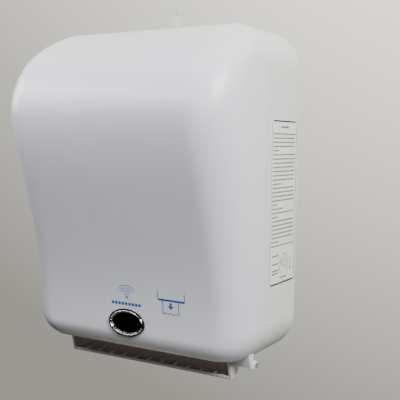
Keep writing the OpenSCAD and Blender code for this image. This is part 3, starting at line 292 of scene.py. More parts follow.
@dataclass(frozen=True)
class Moulded(Finish):
    """Injection-moulded plastic with a fine spark grain and a faint mottle."""

    colour: Colour = (0.5, 0.5, 0.5)
    roughness: float = 0.42
    grain: float = 0.000012
    mottle: float = 0.05
    rounding: float = 0.0004
    gloss: float = 0.45
    shadow: float = 0.8
    clouds: Speckle = Speckle(14.0, 3.0)
    sparks: Speckle = Speckle(2600.0)
    swing: Flat = (0.12, 0.08)

    def shade(self, graph: Graph, cloud: Sock) -> Sock:
        """Colour with its mottle."""
        return graph.mix(cloud * (2 * self.mottle), self.colour, dimmed(self.colour, self.shadow))

    def paint(self, graph: Graph) -> None:
        """Fills the material's node tree.

        Args:
            graph: the tree to fill.
        """
        cloud = graph.noise(self.clouds)
        spark = graph.noise(self.sparks)
        graph.surface({
            "Base Color": self.shade(graph, cloud),
            "Roughness": self.roughness + self.swing[0] * (cloud - 0.5) + self.swing[1] * (spark - 0.5),
            "Normal": graph.bump(spark, self.grain, self.rounding),
            "Specular IOR Level": self.gloss,
        })


@dataclass(frozen=True)
class CoverPlastic(Moulded):
    """White gloss cover that has hung on a wall for some years: a speck, wiping marks and handled edges."""

    speck: Flat = (-0.0487, 0.1115)
    speck_edge: Flat = (0.0012, 0.0006)
    speck_before: float = -0.15
    speck_colour: Colour = tone(88, 84, 80)
    speck_share: float = 0.8
    wiping: Speckle = Speckle(9.0, 4.0, (1.0, 1.0, 3.0))
    wiped_from: Flat = (0.52, 0.75)
    wiped_share: float = 0.10
    handling: Speckle = Speckle(30.0, 3.0)
    handled_from: Flat = (0.35, 0.7)
    handled_below: Flat = (-0.10, -0.19)
    handled_share: float = 0.16
    worn: Colour = (0.86, 0.85, 0.82)

    def shade(self, graph: Graph, cloud: Sock) -> Sock:
        """Adds wiping marks, a handled lower edge and a dark speck on the bulge.

        Args:
            graph: tree that it goes into.
            cloud: mottle from 0 to 1.

        Returns:
            The colour.
        """
        across, depth, height = graph.axes()
        wiped = graph.band(graph.noise(self.wiping), *self.wiped_from)
        touched = graph.band(graph.noise(self.handling), *self.handled_from)
        handled = graph.band(height, *self.handled_below) * touched
        away = graph.away(across, height, self.speck)
        speck = graph.band(away, *self.speck_edge) * (depth < self.speck_before)
        wear = wiped * self.wiped_share + cloud * self.mottle + handled * self.handled_share
        base = graph.mix(wear, self.colour, scaled(self.colour, self.worn))
        return graph.mix(speck * self.speck_share, base, self.speck_colour)


@dataclass(frozen=True)
class ScoopPlastic(Moulded):
    """Chute moulding with a brown painted shade inside its scoop, left off the ribs' ends at the lip."""

    axis: Flat = (-0.092, -0.184)
    reach: float = 0.0212
    cheek: Flat = (0.1112, 0.1117)
    rib_end: float = -0.0868
    painted_shade_colour: Colour = (0.1, 0.1, 0.1)
    dust_and_shade_share: float = 0.5

    def shade(self, graph: Graph, cloud: Sock) -> Sock:
        """Paints shade inside the scoop and on the cheeks' inner faces.

        Args:
            graph: tree that it goes into.
            cloud: mottle from 0 to 1.

        Returns:
            The colour of the outside, and the painted shade of the scoop's inside.
        """
        across, depth, height = graph.axes()
        away = graph.away(depth, height, self.axis)
        side = abs(across)
        # Where shade is painted: the scoop's inside behind the ribs' lit ends, and the cheeks' inner faces.
        inside = (away < self.reach) * (side < self.cheek[0]) * (depth > self.rib_end)
        inside = inside + (side > self.cheek[0]) * (side < self.cheek[1])
        # Painted shade, not dust: the brown, with a mottle, that the scoop's white inside shows in the
        # cover's shadow.
        dust = graph.mix(cloud * self.dust_and_shade_share, self.painted_shade_colour, dimmed(self.painted_shade_colour, self.shadow))
        return graph.mix(inside, super().shade(graph, cloud), dust)


@dataclass(frozen=True)
class Metal(Finish):
    """Bare or plated metal with drawn marks and small scratches."""

    colour: Colour = (0.6, 0.6, 0.6)
    roughness: float = 0.28
    drawing: Speckle = Speckle(60.0, 4.0, (40.0, 1.0, 1.0))
    marks: float = 0.12
    relief: float = 0.000006
    rounding: float = 0.00025
    clouds: Speckle = Speckle(22.0)
    dull_from: Flat = (0.45, 0.8)
    dull_share: float = 0.5
    dull: float = 0.72

    def paint(self, graph: Graph) -> None:
        """Fills the material's node tree.

        Args:
            graph: the tree to fill.
        """
        drawn = graph.noise(self.drawing)
        cloud = graph.noise(self.clouds)
        tarnish = graph.band(cloud, *self.dull_from) * self.dull_share
        graph.surface({
            "Base Color": graph.mix(tarnish, self.colour, dimmed(self.colour, self.dull)),
            "Metallic": 1.0,
            "Roughness": self.roughness + self.marks * (drawn - 0.5) + 0.5 * self.marks * cloud,
            "Normal": graph.bump(drawn, self.relief, self.rounding),
        })


@dataclass(frozen=True)
class Rubber(Finish):
    """Dark rubber with paper dust in its pores."""

    colour: Colour = (0.03, 0.03, 0.03)
    pores: Speckle = Speckle(900.0, 3.0)
    pore_depth: float = 0.00003
    rounding: float = 0.0004
    dusting: Speckle = Speckle(60.0, 4.0)
    dust_from: Flat = (0.5, 0.8)
    dust_colour: Colour = tone(150, 148, 142)
    dust_and_shade_share: float = 0.3
    roughness: Flat = (0.72, 0.15)

    def paint(self, graph: Graph) -> None:
        """Fills the material's node tree.

        Args:
            graph: the tree to fill.
        """
        pore = graph.noise(self.pores)
        dust = graph.band(graph.noise(self.dusting), *self.dust_from)
        graph.surface({
            "Base Color": graph.mix(dust * self.dust_and_shade_share, self.colour, self.dust_colour),
            "Roughness": self.roughness[0] + self.roughness[1] * dust,
            "Normal": graph.bump(pore, self.pore_depth, self.rounding),
        })


@dataclass(frozen=True)
class Lens(Finish):
    """Black window that only the sensor's light passes, with a faint film of dust."""

    colour: Colour = (0.0012, 0.0012, 0.0014)
    dust_colour: Colour = (0.3, 0.3, 0.3)
    dust: Speckle = Speckle(120.0, 4.0)
    dust_from: Flat = (0.5, 0.9)
    dust_and_shade_share: float = 0.02
    dust_depth: float = 0.000002
    roughness: Flat = (0.12, 0.1)
    gloss: float = 0.03

    def paint(self, graph: Graph) -> None:
        """Fills the material's node tree.

        Args:
            graph: the tree to fill.
        """
        film = graph.noise(self.dust)
        dusty = graph.band(film, *self.dust_from) * self.dust_and_shade_share
        graph.surface({
            "Base Color": graph.mix(dusty, self.colour, self.dust_colour),
            "Roughness": self.roughness[0] + self.roughness[1] * film,
            "Normal": graph.bump(film, self.dust_depth),
            "Specular IOR Level": self.gloss,
        })


@dataclass(frozen=True)
class ClearPlastic(Finish):
    """Pale translucent plastic."""

    colour: Colour = (0.8, 0.8, 0.8)
    clouding: Speckle = Speckle(220.0, 3.0)
    shadow: float = 0.93
    relief: float = 0.00002
    roughness: Flat = (0.22, 0.16)
    passes: float = 0.55
    bending: float = 1.46

    def paint(self, graph: Graph) -> None:
        """Fills the material's node tree.

        Args:
            graph: the tree to fill.
        """
        haze = graph.noise(self.clouding)
        graph.surface({
            "Base Color": graph.mix(haze, self.colour, dimmed(self.colour, self.shadow)),
            "Roughness": self.roughness[0] + self.roughness[1] * haze,
            "Normal": graph.bump(haze, self.relief),
            "Transmission Weight": self.passes,
            "IOR": self.bending,
        })


@dataclass(frozen=True)
class TowelPaper(Finish):
    """Soft towel paper with an embossed waffle and loose fibres."""

    colour: Colour = (0.8, 0.8, 0.78)
    emboss: float = 0.00012
    emboss_share: float = 0.7
    dots: float = 330.0
    fibres: Speckle = Speckle(700.0, 5.0)
    fibre_share: float = 0.35
    fibre_rise: float = 0.5
    shadow: float = 0.86
    roughness: Flat = (0.86, 0.08)
    sheen: float = 0.25

    def paint(self, graph: Graph) -> None:
        """Fills the material's node tree.

        Args:
            graph: the tree to fill.
        """
        fibre = graph.noise(self.fibres)
        dot = graph.node("ShaderNodeTexVoronoi", None, {"Vector": graph.place(), "Scale": self.dots})
        relief = dot + self.fibre_rise * fibre
        graph.surface({
            "Base Color": graph.mix(fibre * self.fibre_share, self.colour, dimmed(self.colour, self.shadow)),
            "Roughness": self.roughness[0] + self.roughness[1] * fibre,
            "Normal": graph.bump(relief, self.emboss, strength=self.emboss_share),
            "Sheen Weight": self.sheen,
        })


@dataclass(frozen=True)
class PaperEnd(Finish):
    """Cut end of a wound roll, with its turns showing as fine rings round the axis."""

    colour: Colour = (0.78, 0.78, 0.75)
    axis: Flat = (0.0, 0.0)
    turns: float = 1400.0
    ring_depth: float = 0.00015
    ring_share: float = 0.4
    shadow: float = 0.7
    loosening: Speckle = Speckle(90.0, 3.0)
    loose_share: float = 0.4
    roughness: Flat = (0.9, 0.06)

    def paint(self, graph: Graph) -> None:
        """Fills the material's node tree.

        Args:
            graph: the tree to fill.
        """
        _, depth, height = graph.axes()
        away = graph.away(depth, height, self.axis)
        layer = graph.maths("SINE", away * (self.turns * math.tau))
        loose = graph.noise(self.loosening)
        ring = (0.5 + 0.5 * layer) * ((1 - self.loose_share) + self.loose_share * loose)
        graph.surface({
            "Base Color": graph.mix(ring * self.ring_share, self.colour, dimmed(self.colour, self.shadow)),
            "Roughness": self.roughness[0] - self.roughness[1] * loose,
            "Normal": graph.bump(ring, self.ring_depth),
        })


@dataclass(frozen=True)
class Card(Finish):
    """Spiral-wound grey-brown cardboard."""

    colour: Colour = (0.3, 0.22, 0.14)
    pitch: float = 0.06
    slant: float = 0.4
    seam_edge: Flat = (0.0004, 0.0012)
    seam_share: float = 0.4
    fibres: Speckle = Speckle(420.0, 5.0, (0.35, 1.0, 1.0))
    fibre_share: float = 0.5
    shadow: float = 0.6
    relief: float = 0.00012
    roughness: Flat = (0.84, 0.08)

    def paint(self, graph: Graph) -> None:
        """Fills the material's node tree.

        Args:
            graph: the tree to fill.
        """
        along, _, height = graph.axes()
        seam = graph.maths("PINGPONG", along + self.slant * height, self.pitch / 2)
        line = 1.0 - graph.band(seam, *self.seam_edge)
        fibre = graph.noise(self.fibres)
        shade = fibre * self.fibre_share + line * self.seam_share
        graph.surface({
            "Base Color": graph.mix(shade, self.colour, dimmed(self.colour, self.shadow)),
            "Roughness": self.roughness[0] + self.roughness[1] * fibre,
            "Normal": graph.bump(fibre - line, self.relief),
        })


@dataclass(frozen=True)
class Circuit(Finish):
    """Green circuit board with copper tracks under its lacquer."""

    colour: Colour = (0.01, 0.09, 0.03)
    fields: float = 160.0
    field_shift: float = 0.5
    field_squash: float = 2.0
    track_width: float = 0.06
    track_gain: float = 2.2
    track_lift: float = 0.01
    cloth: Speckle = Speckle(800.0)
    relief: float = 0.00001
    rounding: float = 0.0002
    roughness: Flat = (0.3, 0.12)

    def paint(self, graph: Graph) -> None:
        """Fills the material's node tree.

        Args:
            graph: the tree to fill.
        """
        black, white = (0.0, 0.0, 0.0), (1.0, 1.0, 1.0)
        settings = {"offset": self.field_shift, "squash": self.field_squash}
        tracks = graph.node("ShaderNodeTexBrick", settings, {
            "Vector": graph.place(), "Scale": self.fields, "Mortar Size": self.track_width,
            "Color1": black, "Color2": black, "Mortar": white,
        })
        weave = graph.noise(self.cloth)
        light = tuple(min(1.0, c * self.track_gain + self.track_lift) for c in self.colour)
        graph.surface({
            "Base Color": graph.mix(tracks, self.colour, light),
            "Roughness": self.roughness[0] + self.roughness[1] * weave,
            "Normal": graph.bump(weave, self.relief, self.rounding),
        })


@dataclass(frozen=True)
class CellWrap(Finish):
    """Printed sleeve of a dry cell: a dark barrel with a bright band towards its positive end."""

    colour: Colour = (0.02, 0.02, 0.02)
    band_colour: Colour = (0.5, 0.3, 0.1)
    length: float = 0.06
    band_from: Flat = (0.0408, 0.041)
    band_metal: float = 0.7
    scuffs: Speckle = Speckle(160.0, 4.0, (0.3, 1.0, 1.0))
    scuff_depth: float = 0.00002
    roughness: Flat = (0.26, 0.2)

    def paint(self, graph: Graph) -> None:
        """Fills the material's node tree.

        Args:
            graph: the tree to fill.
        """
        along, _, _ = graph.axes()
        share = graph.maths("WRAP", along, self.length, 0.0)
        top = graph.band(share, *self.band_from)
        scuff = graph.noise(self.scuffs)
        graph.surface({
            "Base Color": graph.mix(top, self.colour, self.band_colour),
            "Metallic": top * self.band_metal,
            "Roughness": self.roughness[0] + self.roughness[1] * scuff,
            "Normal": graph.bump(scuff, self.scuff_depth),
        })


@dataclass(frozen=True)
class StickerPaper(Finish):
    """Matt white film that has yellowed in places."""

    colour: Colour = (0.8, 0.8, 0.78)
    yellowing: Speckle = Speckle(26.0, 3.0)
    yellowed: Colour = (0.9, 0.88, 0.8)
    yellow_share: float = 0.25
    fibres: Speckle = Speckle(1500.0)
    relief: float = 0.000008
    roughness: Flat = (0.5, 0.15)

    def paint(self, graph: Graph) -> None:
        """Fills the material's node tree.

        Args:
            graph: the tree to fill.
        """
        age = graph.noise(self.yellowing)
        fine = graph.noise(self.fibres)
        graph.surface({
            "Base Color": graph.mix(age * self.yellow_share, self.colour, scaled(self.colour, self.yellowed)),
            "Roughness": self.roughness[0] + self.roughness[1] * fine,
            "Normal": graph.bump(fine, self.relief),
        })


@dataclass(frozen=True)
class Ink(Finish):
    """Screen-printed ink, a little uneven where the screen was dry."""

    colour: Colour = (0.02, 0.1, 0.4)
    drying: Speckle = Speckle(520.0, 4.0)
    dry_from: Flat = (0.5, 0.85)
    dry_share: float = 0.35
    bare: float = 0.4
    roughness: Flat = (0.42, 0.2)

    def paint(self, graph: Graph) -> None:
        """Fills the material's node tree.

        Args:
            graph: the tree to fill.
        """
        dry = graph.band(graph.noise(self.drying), *self.dry_from)
        pale = tuple(self.bare + (1 - self.bare) * c for c in self.colour)
        graph.surface({
            "Base Color": graph.mix(dry * self.dry_share, self.colour, pale),
            "Roughness": self.roughness[0] + self.roughness[1] * dry,
        })


@dataclass(frozen=True)
class FloorPaint(Finish):
    """Matt pale floor."""

    colour: Colour = (0.7, 0.7, 0.66)
    clouds: Speckle = Speckle(0.6, 3.0)
    cloud_share: float = 0.3
    shadow: float = 0.9
    roughness: Flat = (0.85, 0.1)

    def paint(self, graph: Graph) -> None:
        """Fills the material's node tree.

        Args:
            graph: the tree to fill.
        """
        cloud = graph.noise(self.clouds)
        graph.surface({
            "Base Color": graph.mix(cloud * self.cloud_share, self.colour, dimmed(self.colour, self.shadow)),
            "Roughness": self.roughness[0] + self.roughness[1] * cloud,
        })


@dataclass(frozen=True)
class Lamp(Finish):
    """Small indicator lamp that glows faintly."""

    colour: Colour = (0.1, 0.7, 0.15)
    facets: Speckle = Speckle(500.0)
    facet_share: float = 0.4
    shadow: float = 0.6
    roughness: Flat = (0.15, 0.1)
    glow: float = 0.5

    def paint(self, graph: Graph) -> None:
        """Fills the material's node tree.

        Args:
            graph: the tree to fill.
        """
        facet = graph.noise(self.facets)
        graph.surface({
            "Base Color": graph.mix(facet * self.facet_share, self.colour, dimmed(self.colour, self.shadow)),
            "Roughness": self.roughness[0] + self.roughness[1] * facet,
            "Emission Color": self.colour,
            "Emission Strength": self.glow,
        })


ROLL_AXIS: Flat = (-0.105, 0.090467)
COARSE_GRAIN = 0.00002
# Painted shade: the brown-grey that stands for white plastic in the shadow under the cover.
PAINTED_SHADE_BROWN = tone(196, 183, 176)

COVER_WHITE = CoverPlastic(
    "cover_white", tone(234, 235, 243), roughness=0.29, grain=0.000008, mottle=0.03, rounding=0.0
)
TRAY_WHITE = Moulded("tray_white", tone(233, 233, 232), roughness=0.4, mottle=0.06)
CHUTE_WHITE = ScoopPlastic("chute_white", tone(228, 226, 222), roughness=0.4, mottle=0.08, painted_shade_colour=PAINTED_SHADE_BROWN)
DARK_PLASTIC = Moulded("dark_plastic", tone(74, 70, 68), roughness=0.5, grain=COARSE_GRAIN, mottle=0.12)
# The guide is coloured with the painted shade brown that its white plastic shows under the cover.
GUIDE_PAINTED_SHADE = Moulded("guide_painted_shade", PAINTED_SHADE_BROWN, roughness=0.5, grain=COARSE_GRAIN, mottle=0.2)
GREY_PLASTIC = Moulded("grey_plastic", tone(116, 120, 127), roughness=0.46, grain=COARSE_GRAIN, mottle=0.1)
PANEL_GREY = Moulded("panel_grey", tone(190, 193, 197), mottle=0.08)
BUTTON_BLUE = Moulded("button_blue", tone(36, 92, 172), roughness=0.35, mottle=0.08)
NYLON = Moulded("nylon", tone(231, 224, 205), roughness=0.36, mottle=0.1)
# The sensor seat's black is painted: it stands for the dark room reflected in the chrome ring and for the
# shade at its edges.
SEAT_SHADE_AND_REFLECTION = Moulded("seat_painted_shade_and_reflection", tone(20, 20, 21), roughness=0.3, mottle=0.1, rounding=0.0)
CHIP_BLACK = Moulded("chip_black", tone(36, 37, 40), roughness=0.5, mottle=0.1)
STEEL = Metal("steel", tone(188, 190, 193), roughness=0.3)
CHROME = Metal(
    "chrome", tone(226, 228, 230), roughness=0.06, drawing=Speckle(60.0, 4.0, (6.0, 6.0, 6.0)), marks=0.05,
    relief=0.000001, rounding=0.0,
)
BRASS = Metal("brass", tone(206, 168, 92), roughness=0.3)
RUBBER = Rubber("rubber", tone(46, 47, 49))
LENS = Lens("window_black")
KEY_CLEAR = ClearPlastic("key_clear", tone(236, 237, 232))
PAPER = TowelPaper("paper", tone(236, 235, 230))
PAPER_END = PaperEnd("paper_end", tone(232, 231, 225), ROLL_AXIS)
CARD = Card("cardboard", tone(166, 138, 108))
BOARD = Circuit("board_green", tone(20, 84, 48))
CELL_WRAP = CellWrap("cell_wrap", tone(30, 34, 38), tone(196, 150, 70))
STICKER = StickerPaper("label_paper", tone(243, 243, 238))
INK_BLUE = Ink("ink_blue", tone(34, 88, 172))
INK_PALE = Ink("ink_pale", tone(120, 154, 200))
INK_DARK = Ink("ink_dark", tone(66, 66, 68))
INK_GREY = Ink("ink_grey", tone(92, 92, 94))
INK_LIGHT = Ink("ink_light", tone(196, 198, 202))
LAMP_GREEN = Lamp("lamp_green", tone(90, 210, 110))
FLOOR = FloorPaint("floor", tone(222, 220, 212))


class Solid:
    """A mesh under construction, in metres."""

    weld: float = 1e-7
    sliver: float = 1e-8
    bevel_steps: int = 2
    first_side: Point = (0.31, 0.52, 0.79)

    def __init__(self) -> None:
        """Starts with nothing."""
        self.points: list[Vector] = []
        self.faces: list[tuple[int, ...]] = []

    def loft(self, rings: Sequence[Sequence[Vector]], caps: bool = True, loop: bool = False) -> "Solid":
        """Skins a row of closed rings.

        Args:
            rings: rings of the same number of points.
            caps: whether the first and last ring are closed.
            loop: whether the last ring meets the first.

        Returns:
            This solid.
        """
        start, count = len(self.points), len(rings[0])
        for ring in rings:
            self.points.extend(Vector(p) for p in ring)
        for i in range(len(rings) if loop else len(rings) - 1):
            a, b = start + i * count, start + (i + 1) % len(rings) * count
            for k in range(count):
                m = (k + 1) % count
                self.faces.append((a + k, a + m, b + m, b + k))
        if caps and not loop:
            end = start + (len(rings) - 1) * count
            self.faces.append(tuple(reversed(range(start, start + count))))
            self.faces.append(tuple(range(end, end + count)))
        return self

    def lathe(
        self, profile: Sequence[Flat], centre: Flat, axis: Axis = Axis.X, sides: int = 64, loop: bool = False,
        ripple: Callable[[float], float] | None = None,
    ) -> "Solid":
        """Turns a profile round an axis.

        Args:
            profile: places along the axis, each with its radius.
            centre: where the axis stands across its direction.
            axis: direction of the axis.
            sides: points round.
            loop: whether the profile closes on itself, as a ring's does.
            ripple: added to the radius at an angle.

        Returns:
            This solid.
        """
        turns = [math.tau * k / sides for k in range(sides)]
        rings = []
        for run, radius in profile:
            ring = []
            for turn in turns:
                reach = radius + (ripple(turn) if ripple else 0.0)
                across, up = centre[0] + reach * math.cos(turn), centre[1] + reach * math.sin(turn)
                ring.append(axis.place(across, up, run))
            rings.append(ring)
        return self.loft(rings, loop=loop)

    def sweep(self, path: Sequence[Vector], radius: float, sides: int = 10) -> "Solid":
        """Draws a round wire along a path.

        Args:
            path: points of the wire's middle line.
            radius: radius of the wire.
            sides: points round the wire.

        Returns:
            This solid.
        """
        side = Vector(self.first_side)
        turns = [math.tau * s / sides for s in range(sides)]
        rings = []
        for k, point in enumerate(path):
            ahead = (path[min(k + 1, len(path) - 1)] - path[max(k - 1, 0)]).normalized()
            side = (side - ahead * side.dot(ahead)).normalized()
            other = ahead.cross(side)
            rings.append([point + radius * (math.cos(t) * side + math.sin(t) * other) for t in turns])
        return self.loft(rings)

    def plate(self, loops: Sequence[Loop], run: Flat, axis: Axis, edge: float = 0.0003) -> "Solid":
        """Adds a plate of an outline with holes and rounded edges.

        Args:
            loops: the outline, then its holes, across the axis.
            run: where the plate starts and ends along the axis.
            axis: direction of its thickness.
            edge: radius of its edges.

        Returns:
            This solid.
        """
        curve = bpy.data.curves.new("outline", "CURVE")
        curve.dimensions = "2D"
        curve.fill_mode = "BOTH"
        curve.extrude = abs(run[1] - run[0]) / 2 - edge
        curve.bevel_depth = edge
        curve.bevel_resolution = self.bevel_steps
        curve.offset = -edge
        for loop in loops:
            spline = curve.splines.new("POLY")
            spline.points.add(len(loop) - 1)
            for point, (u, v) in zip(spline.points, loop):
                point.co = (u, v, 0.0, 1.0)
            spline.use_cyclic_u = True
        holder = bpy.data.objects.new("outline", curve)
        bpy.context.scene.collection.objects.link(holder)
        mesh = bpy.data.meshes.new_from_object(holder.evaluated_get(bpy.context.evaluated_depsgraph_get()))
        start, middle = len(self.points), (run[0] + run[1]) / 2
        self.points.extend(axis.place(v.co.x, v.co.y, v.co.z + middle) for v in mesh.vertices)
        self.faces.extend(tuple(start + i for i in p.vertices) for p in mesh.polygons)
        bpy.data.objects.remove(holder)
        bpy.data.curves.remove(curve)
        bpy.data.meshes.remove(mesh)
        return self

    def mesh(self, name: str, sharp: float = 40.0) -> bpy.types.Mesh:
        """Finishes the mesh.

        Args:
            name: name of the mesh.
            sharp: angle in degrees past which an edge isn't smoothed.

        Returns:
            The mesh.
        """
        made = bpy.data.meshes.new(name)
        made.from_pydata([tuple(p) for p in self.points], [], self.faces)
        work = bmesh.new()
        work.from_mesh(made)
        bmesh.ops.remove_doubles(work, verts=work.verts, dist=self.weld)
        bmesh.ops.dissolve_degenerate(work, edges=work.edges, dist=self.sliver)
        bmesh.ops.recalc_face_normals(work, faces=work.faces)
        work.to_mesh(made)
        work.free()
        smoothed(made, sharp)
        return made


def smoothed(mesh: bpy.types.Mesh, sharp: float) -> None:
    """Smooths a mesh apart from the edges sharper than an angle in degrees."""
    mesh.polygons.foreach_set("use_smooth", [True] * len(mesh.polygons))
    mesh.set_sharp_from_angle(angle=math.radians(sharp))


def rounded_rectangle(
    left: float, low: float, right: float, high: float, radius: float, steps: int = 4
) -> Loop:
    """Draws a rectangle with round corners.

    Args:
        left: its left side.
        low: its lower side.
        right: its right side.
        high: its upper side.
        radius: radius of the corners.
        steps: parts of a corner.

    Returns:
        The outline.
    """
    corners = [(right - radius, low + radius, -90), (right - radius, high - radius, 0),
               (left + radius, high - radius, 90), (left + radius, low + radius, 180)]
    loop = []
    for x, y, start in corners:
        for k in range(steps + 1):
            turn = math.radians(start + 90 * k / steps)
            loop.append((x + radius * math.cos(turn), y + radius * math.sin(turn)))
    return loop


def centred(centre: Flat, width: float, height: float, radius: float, steps: int = 3) -> Loop:
    """Outline of a rectangle with round corners about a centre."""
    left, low = centre[0] - width / 2, centre[1] - height / 2
    return rounded_rectangle(left, low, centre[0] + width / 2, centre[1] + height / 2, radius, steps)


def oval(width: float, height: float, centre: Flat = (0.0, 0.0), steps: int = 72) -> Loop:
    """Outline of an oval."""
    turns = [math.tau * k / steps for k in range(steps)]
    return [(centre[0] + width / 2 * math.cos(t), centre[1] + height / 2 * math.sin(t)) for t in turns]


def arc(centre: Flat, radius: float, start: float, end: float, steps: int = 18) -> Loop:
    """Points of an arc, its angles in degrees."""
    turns = [math.radians(start + (end - start) * k / steps) for k in range(steps + 1)]
    return [(centre[0] + radius * math.cos(t), centre[1] + radius * math.sin(t)) for t in turns]


def gate(left: float, low: float, right: float, high: float) -> Loop:
    """Corners of a box, from its lower left one up and round to its lower right one."""
    return [(left, low), (left, high), (right, high), (right, low)]


def tyre(middle: float, width: float, bore: float, radius: float, lip: float) -> list[Flat]:
    """Draws a sleeve's section, to be turned round an axis.

    Args:
        middle: its middle along the axis.
        width: its width.
        bore: its inner radius.
        radius: its outer radius.
        lip: how far its edges are rounded.

    Returns:
        Places along the axis, each with its radius.
    """
    low, high, bend = middle - width / 2, middle + width / 2, lip / 3
    return [(low, bore), (low, radius - lip), (low + bend, radius - bend), (low + lip, radius),
            (high - lip, radius), (high - bend, radius - bend), (high, radius - lip), (high, bore)]


@dataclass(frozen=True)
class CoilSpring:
    """Coil spring of round wire along an axis."""

    centre: Flat
    start: float
    length: float
    radius: float
    turns: int
    wire: float
    axis: Axis
    steps: int = 28

    def path(self, mirror: float = 1.0) -> list[Vector]:
        """Winds the spring.

        Args:
            mirror: -1 for the spring's twin on the left.

        Returns:
            Points of the wire's middle line.
        """
        path = []
        count = self.steps * self.turns
        for k in range(count + 1):
            turn = math.tau * self.turns * k / count
            across, up = self.radius * math.cos(turn), self.radius * math.sin(turn)
            run = self.start + self.length * k / count
            place = self.axis.place(self.centre[0] + across, self.centre[1] + up, run)
            path.append(Vector((place.x * mirror, place.y, place.z)))
        return path


class Print:
    """Flat marks printed on a surface, laid on it through a function of the place."""

    longest: float = 0.1

    def __init__(self, lay: Callable[[float, float], Vector]) -> None:
        """Starts with no marks.

        Args:
            lay: gives the place on the surface for a place on a flat sheet.
        """
        self.lay = lay
        self.points: list[Vector] = []
        self.faces: list[tuple[int, ...]] = []

    def _corner(self, place: Flat) -> int:
        """Adds a corner and returns its number."""
        self.points.append(self.lay(*place))
        return len(self.points) - 1

    def stroke(self, line: Loop, width: float, closed: bool = False, step: float = 0.002) -> "Print":
        """Prints a line of even width.

        Args:
            line: its points.
            width: its width.
            closed: whether it ends where it starts.
            step: longest part that is laid on the surface in one.

        Returns:
            These marks.
        """
        path = [Vector(p) for p in (line + line[:1] if closed else line)]
        fine = [path[0]]
        for a, b in zip(path, path[1:]):
            count = max(1, math.ceil((b - a).length / step))
            fine.extend(a.lerp(b, k / count) for k in range(1, count + 1))
        sides = []
        for k, point in enumerate(fine):
            before = fine[k - 1] if k else (fine[-2] if closed else point)
            after = fine[k + 1] if k + 1 < len(fine) else (fine[1] if closed else point)
            ahead = (after - before).normalized()
            out = Vector((-ahead.y, ahead.x)) * width / 2
            sides.append((self._corner(tuple(point + out)), self._corner(tuple(point - out))))
        for (a, b), (c, d) in zip(sides, sides[1:]):
            self.faces.append((a, b, d, c))
        return self

    def bar(self, start: float, end: float, up: float, width: float) -> "Print":
        """Prints a level bar in one part."""
        return self.stroke([(start, up), (end, up)], width, step=self.longest)

    def patch(self, outline: Loop) -> "Print":
        """Prints a filled outline."""
        self.faces.append(tuple(self._corner(p) for p in outline))
        return self

    def mesh(self, name: str) -> bpy.types.Mesh:
        """Makes the marks into a mesh.

        Args:
            name: name of the mesh.

        Returns:
            The mesh.
        """
        made = bpy.data.meshes.new(name)
        made.from_pydata([tuple(p) for p in self.points], [], self.faces)
        return made


class SubAssembly:
    """A group of pieces that is built and dressed together."""

    def dress(self, finish: Finish, *nodes: str) -> None:
        """Gives CAD nodes a finish.

        Args:
            finish: the finish.
            nodes: names of the nodes.
        """
        for node in nodes:
            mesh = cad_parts[node].data
            mesh.materials.clear()
            mesh.materials.append(finish.material())
            LOG.info("dressed %s in %s", node, finish.name)

    def add(
        self, name: str, mesh: bpy.types.Mesh, body: str, finish: Finish, slot: str | None = None,
        replaces: Sequence[str] = (),
    ) -> bpy.types.Object:
        """Adds a piece to the scene.

        Args:
            name: name of the piece.
            mesh: its shape, in place.
            body: CAD body that it moves with.
            finish: its finish.
            slot: material slot of the record; not used.
            replaces: CAD nodes that it stands for.

        Returns:
            The new object.
        """
        piece = bpy.data.objects.new(name, mesh)
        bpy.context.scene.collection.objects.link(piece)
        mesh.materials.append(finish.material())
        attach(piece, body)
        if replaces:
            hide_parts(*replaces)
        LOG.info("built %s on %s", name, body)
        return piece

    def printed(self, name: str, marks: Print, body: str, ink: Finish, film: float = 0.00008) -> None:
        """Adds printed marks as a thin film of ink.

        Args:
            name: name of the piece.
            marks: the marks.
            body: CAD body that they move with.
            ink: their finish.
            film: thickness of the ink.
        """
        piece = self.add(name, marks.mesh(name), body, ink)
        layer = piece.modifiers.new("film", "SOLIDIFY")
        layer.thickness = film
        layer.offset = 1.0


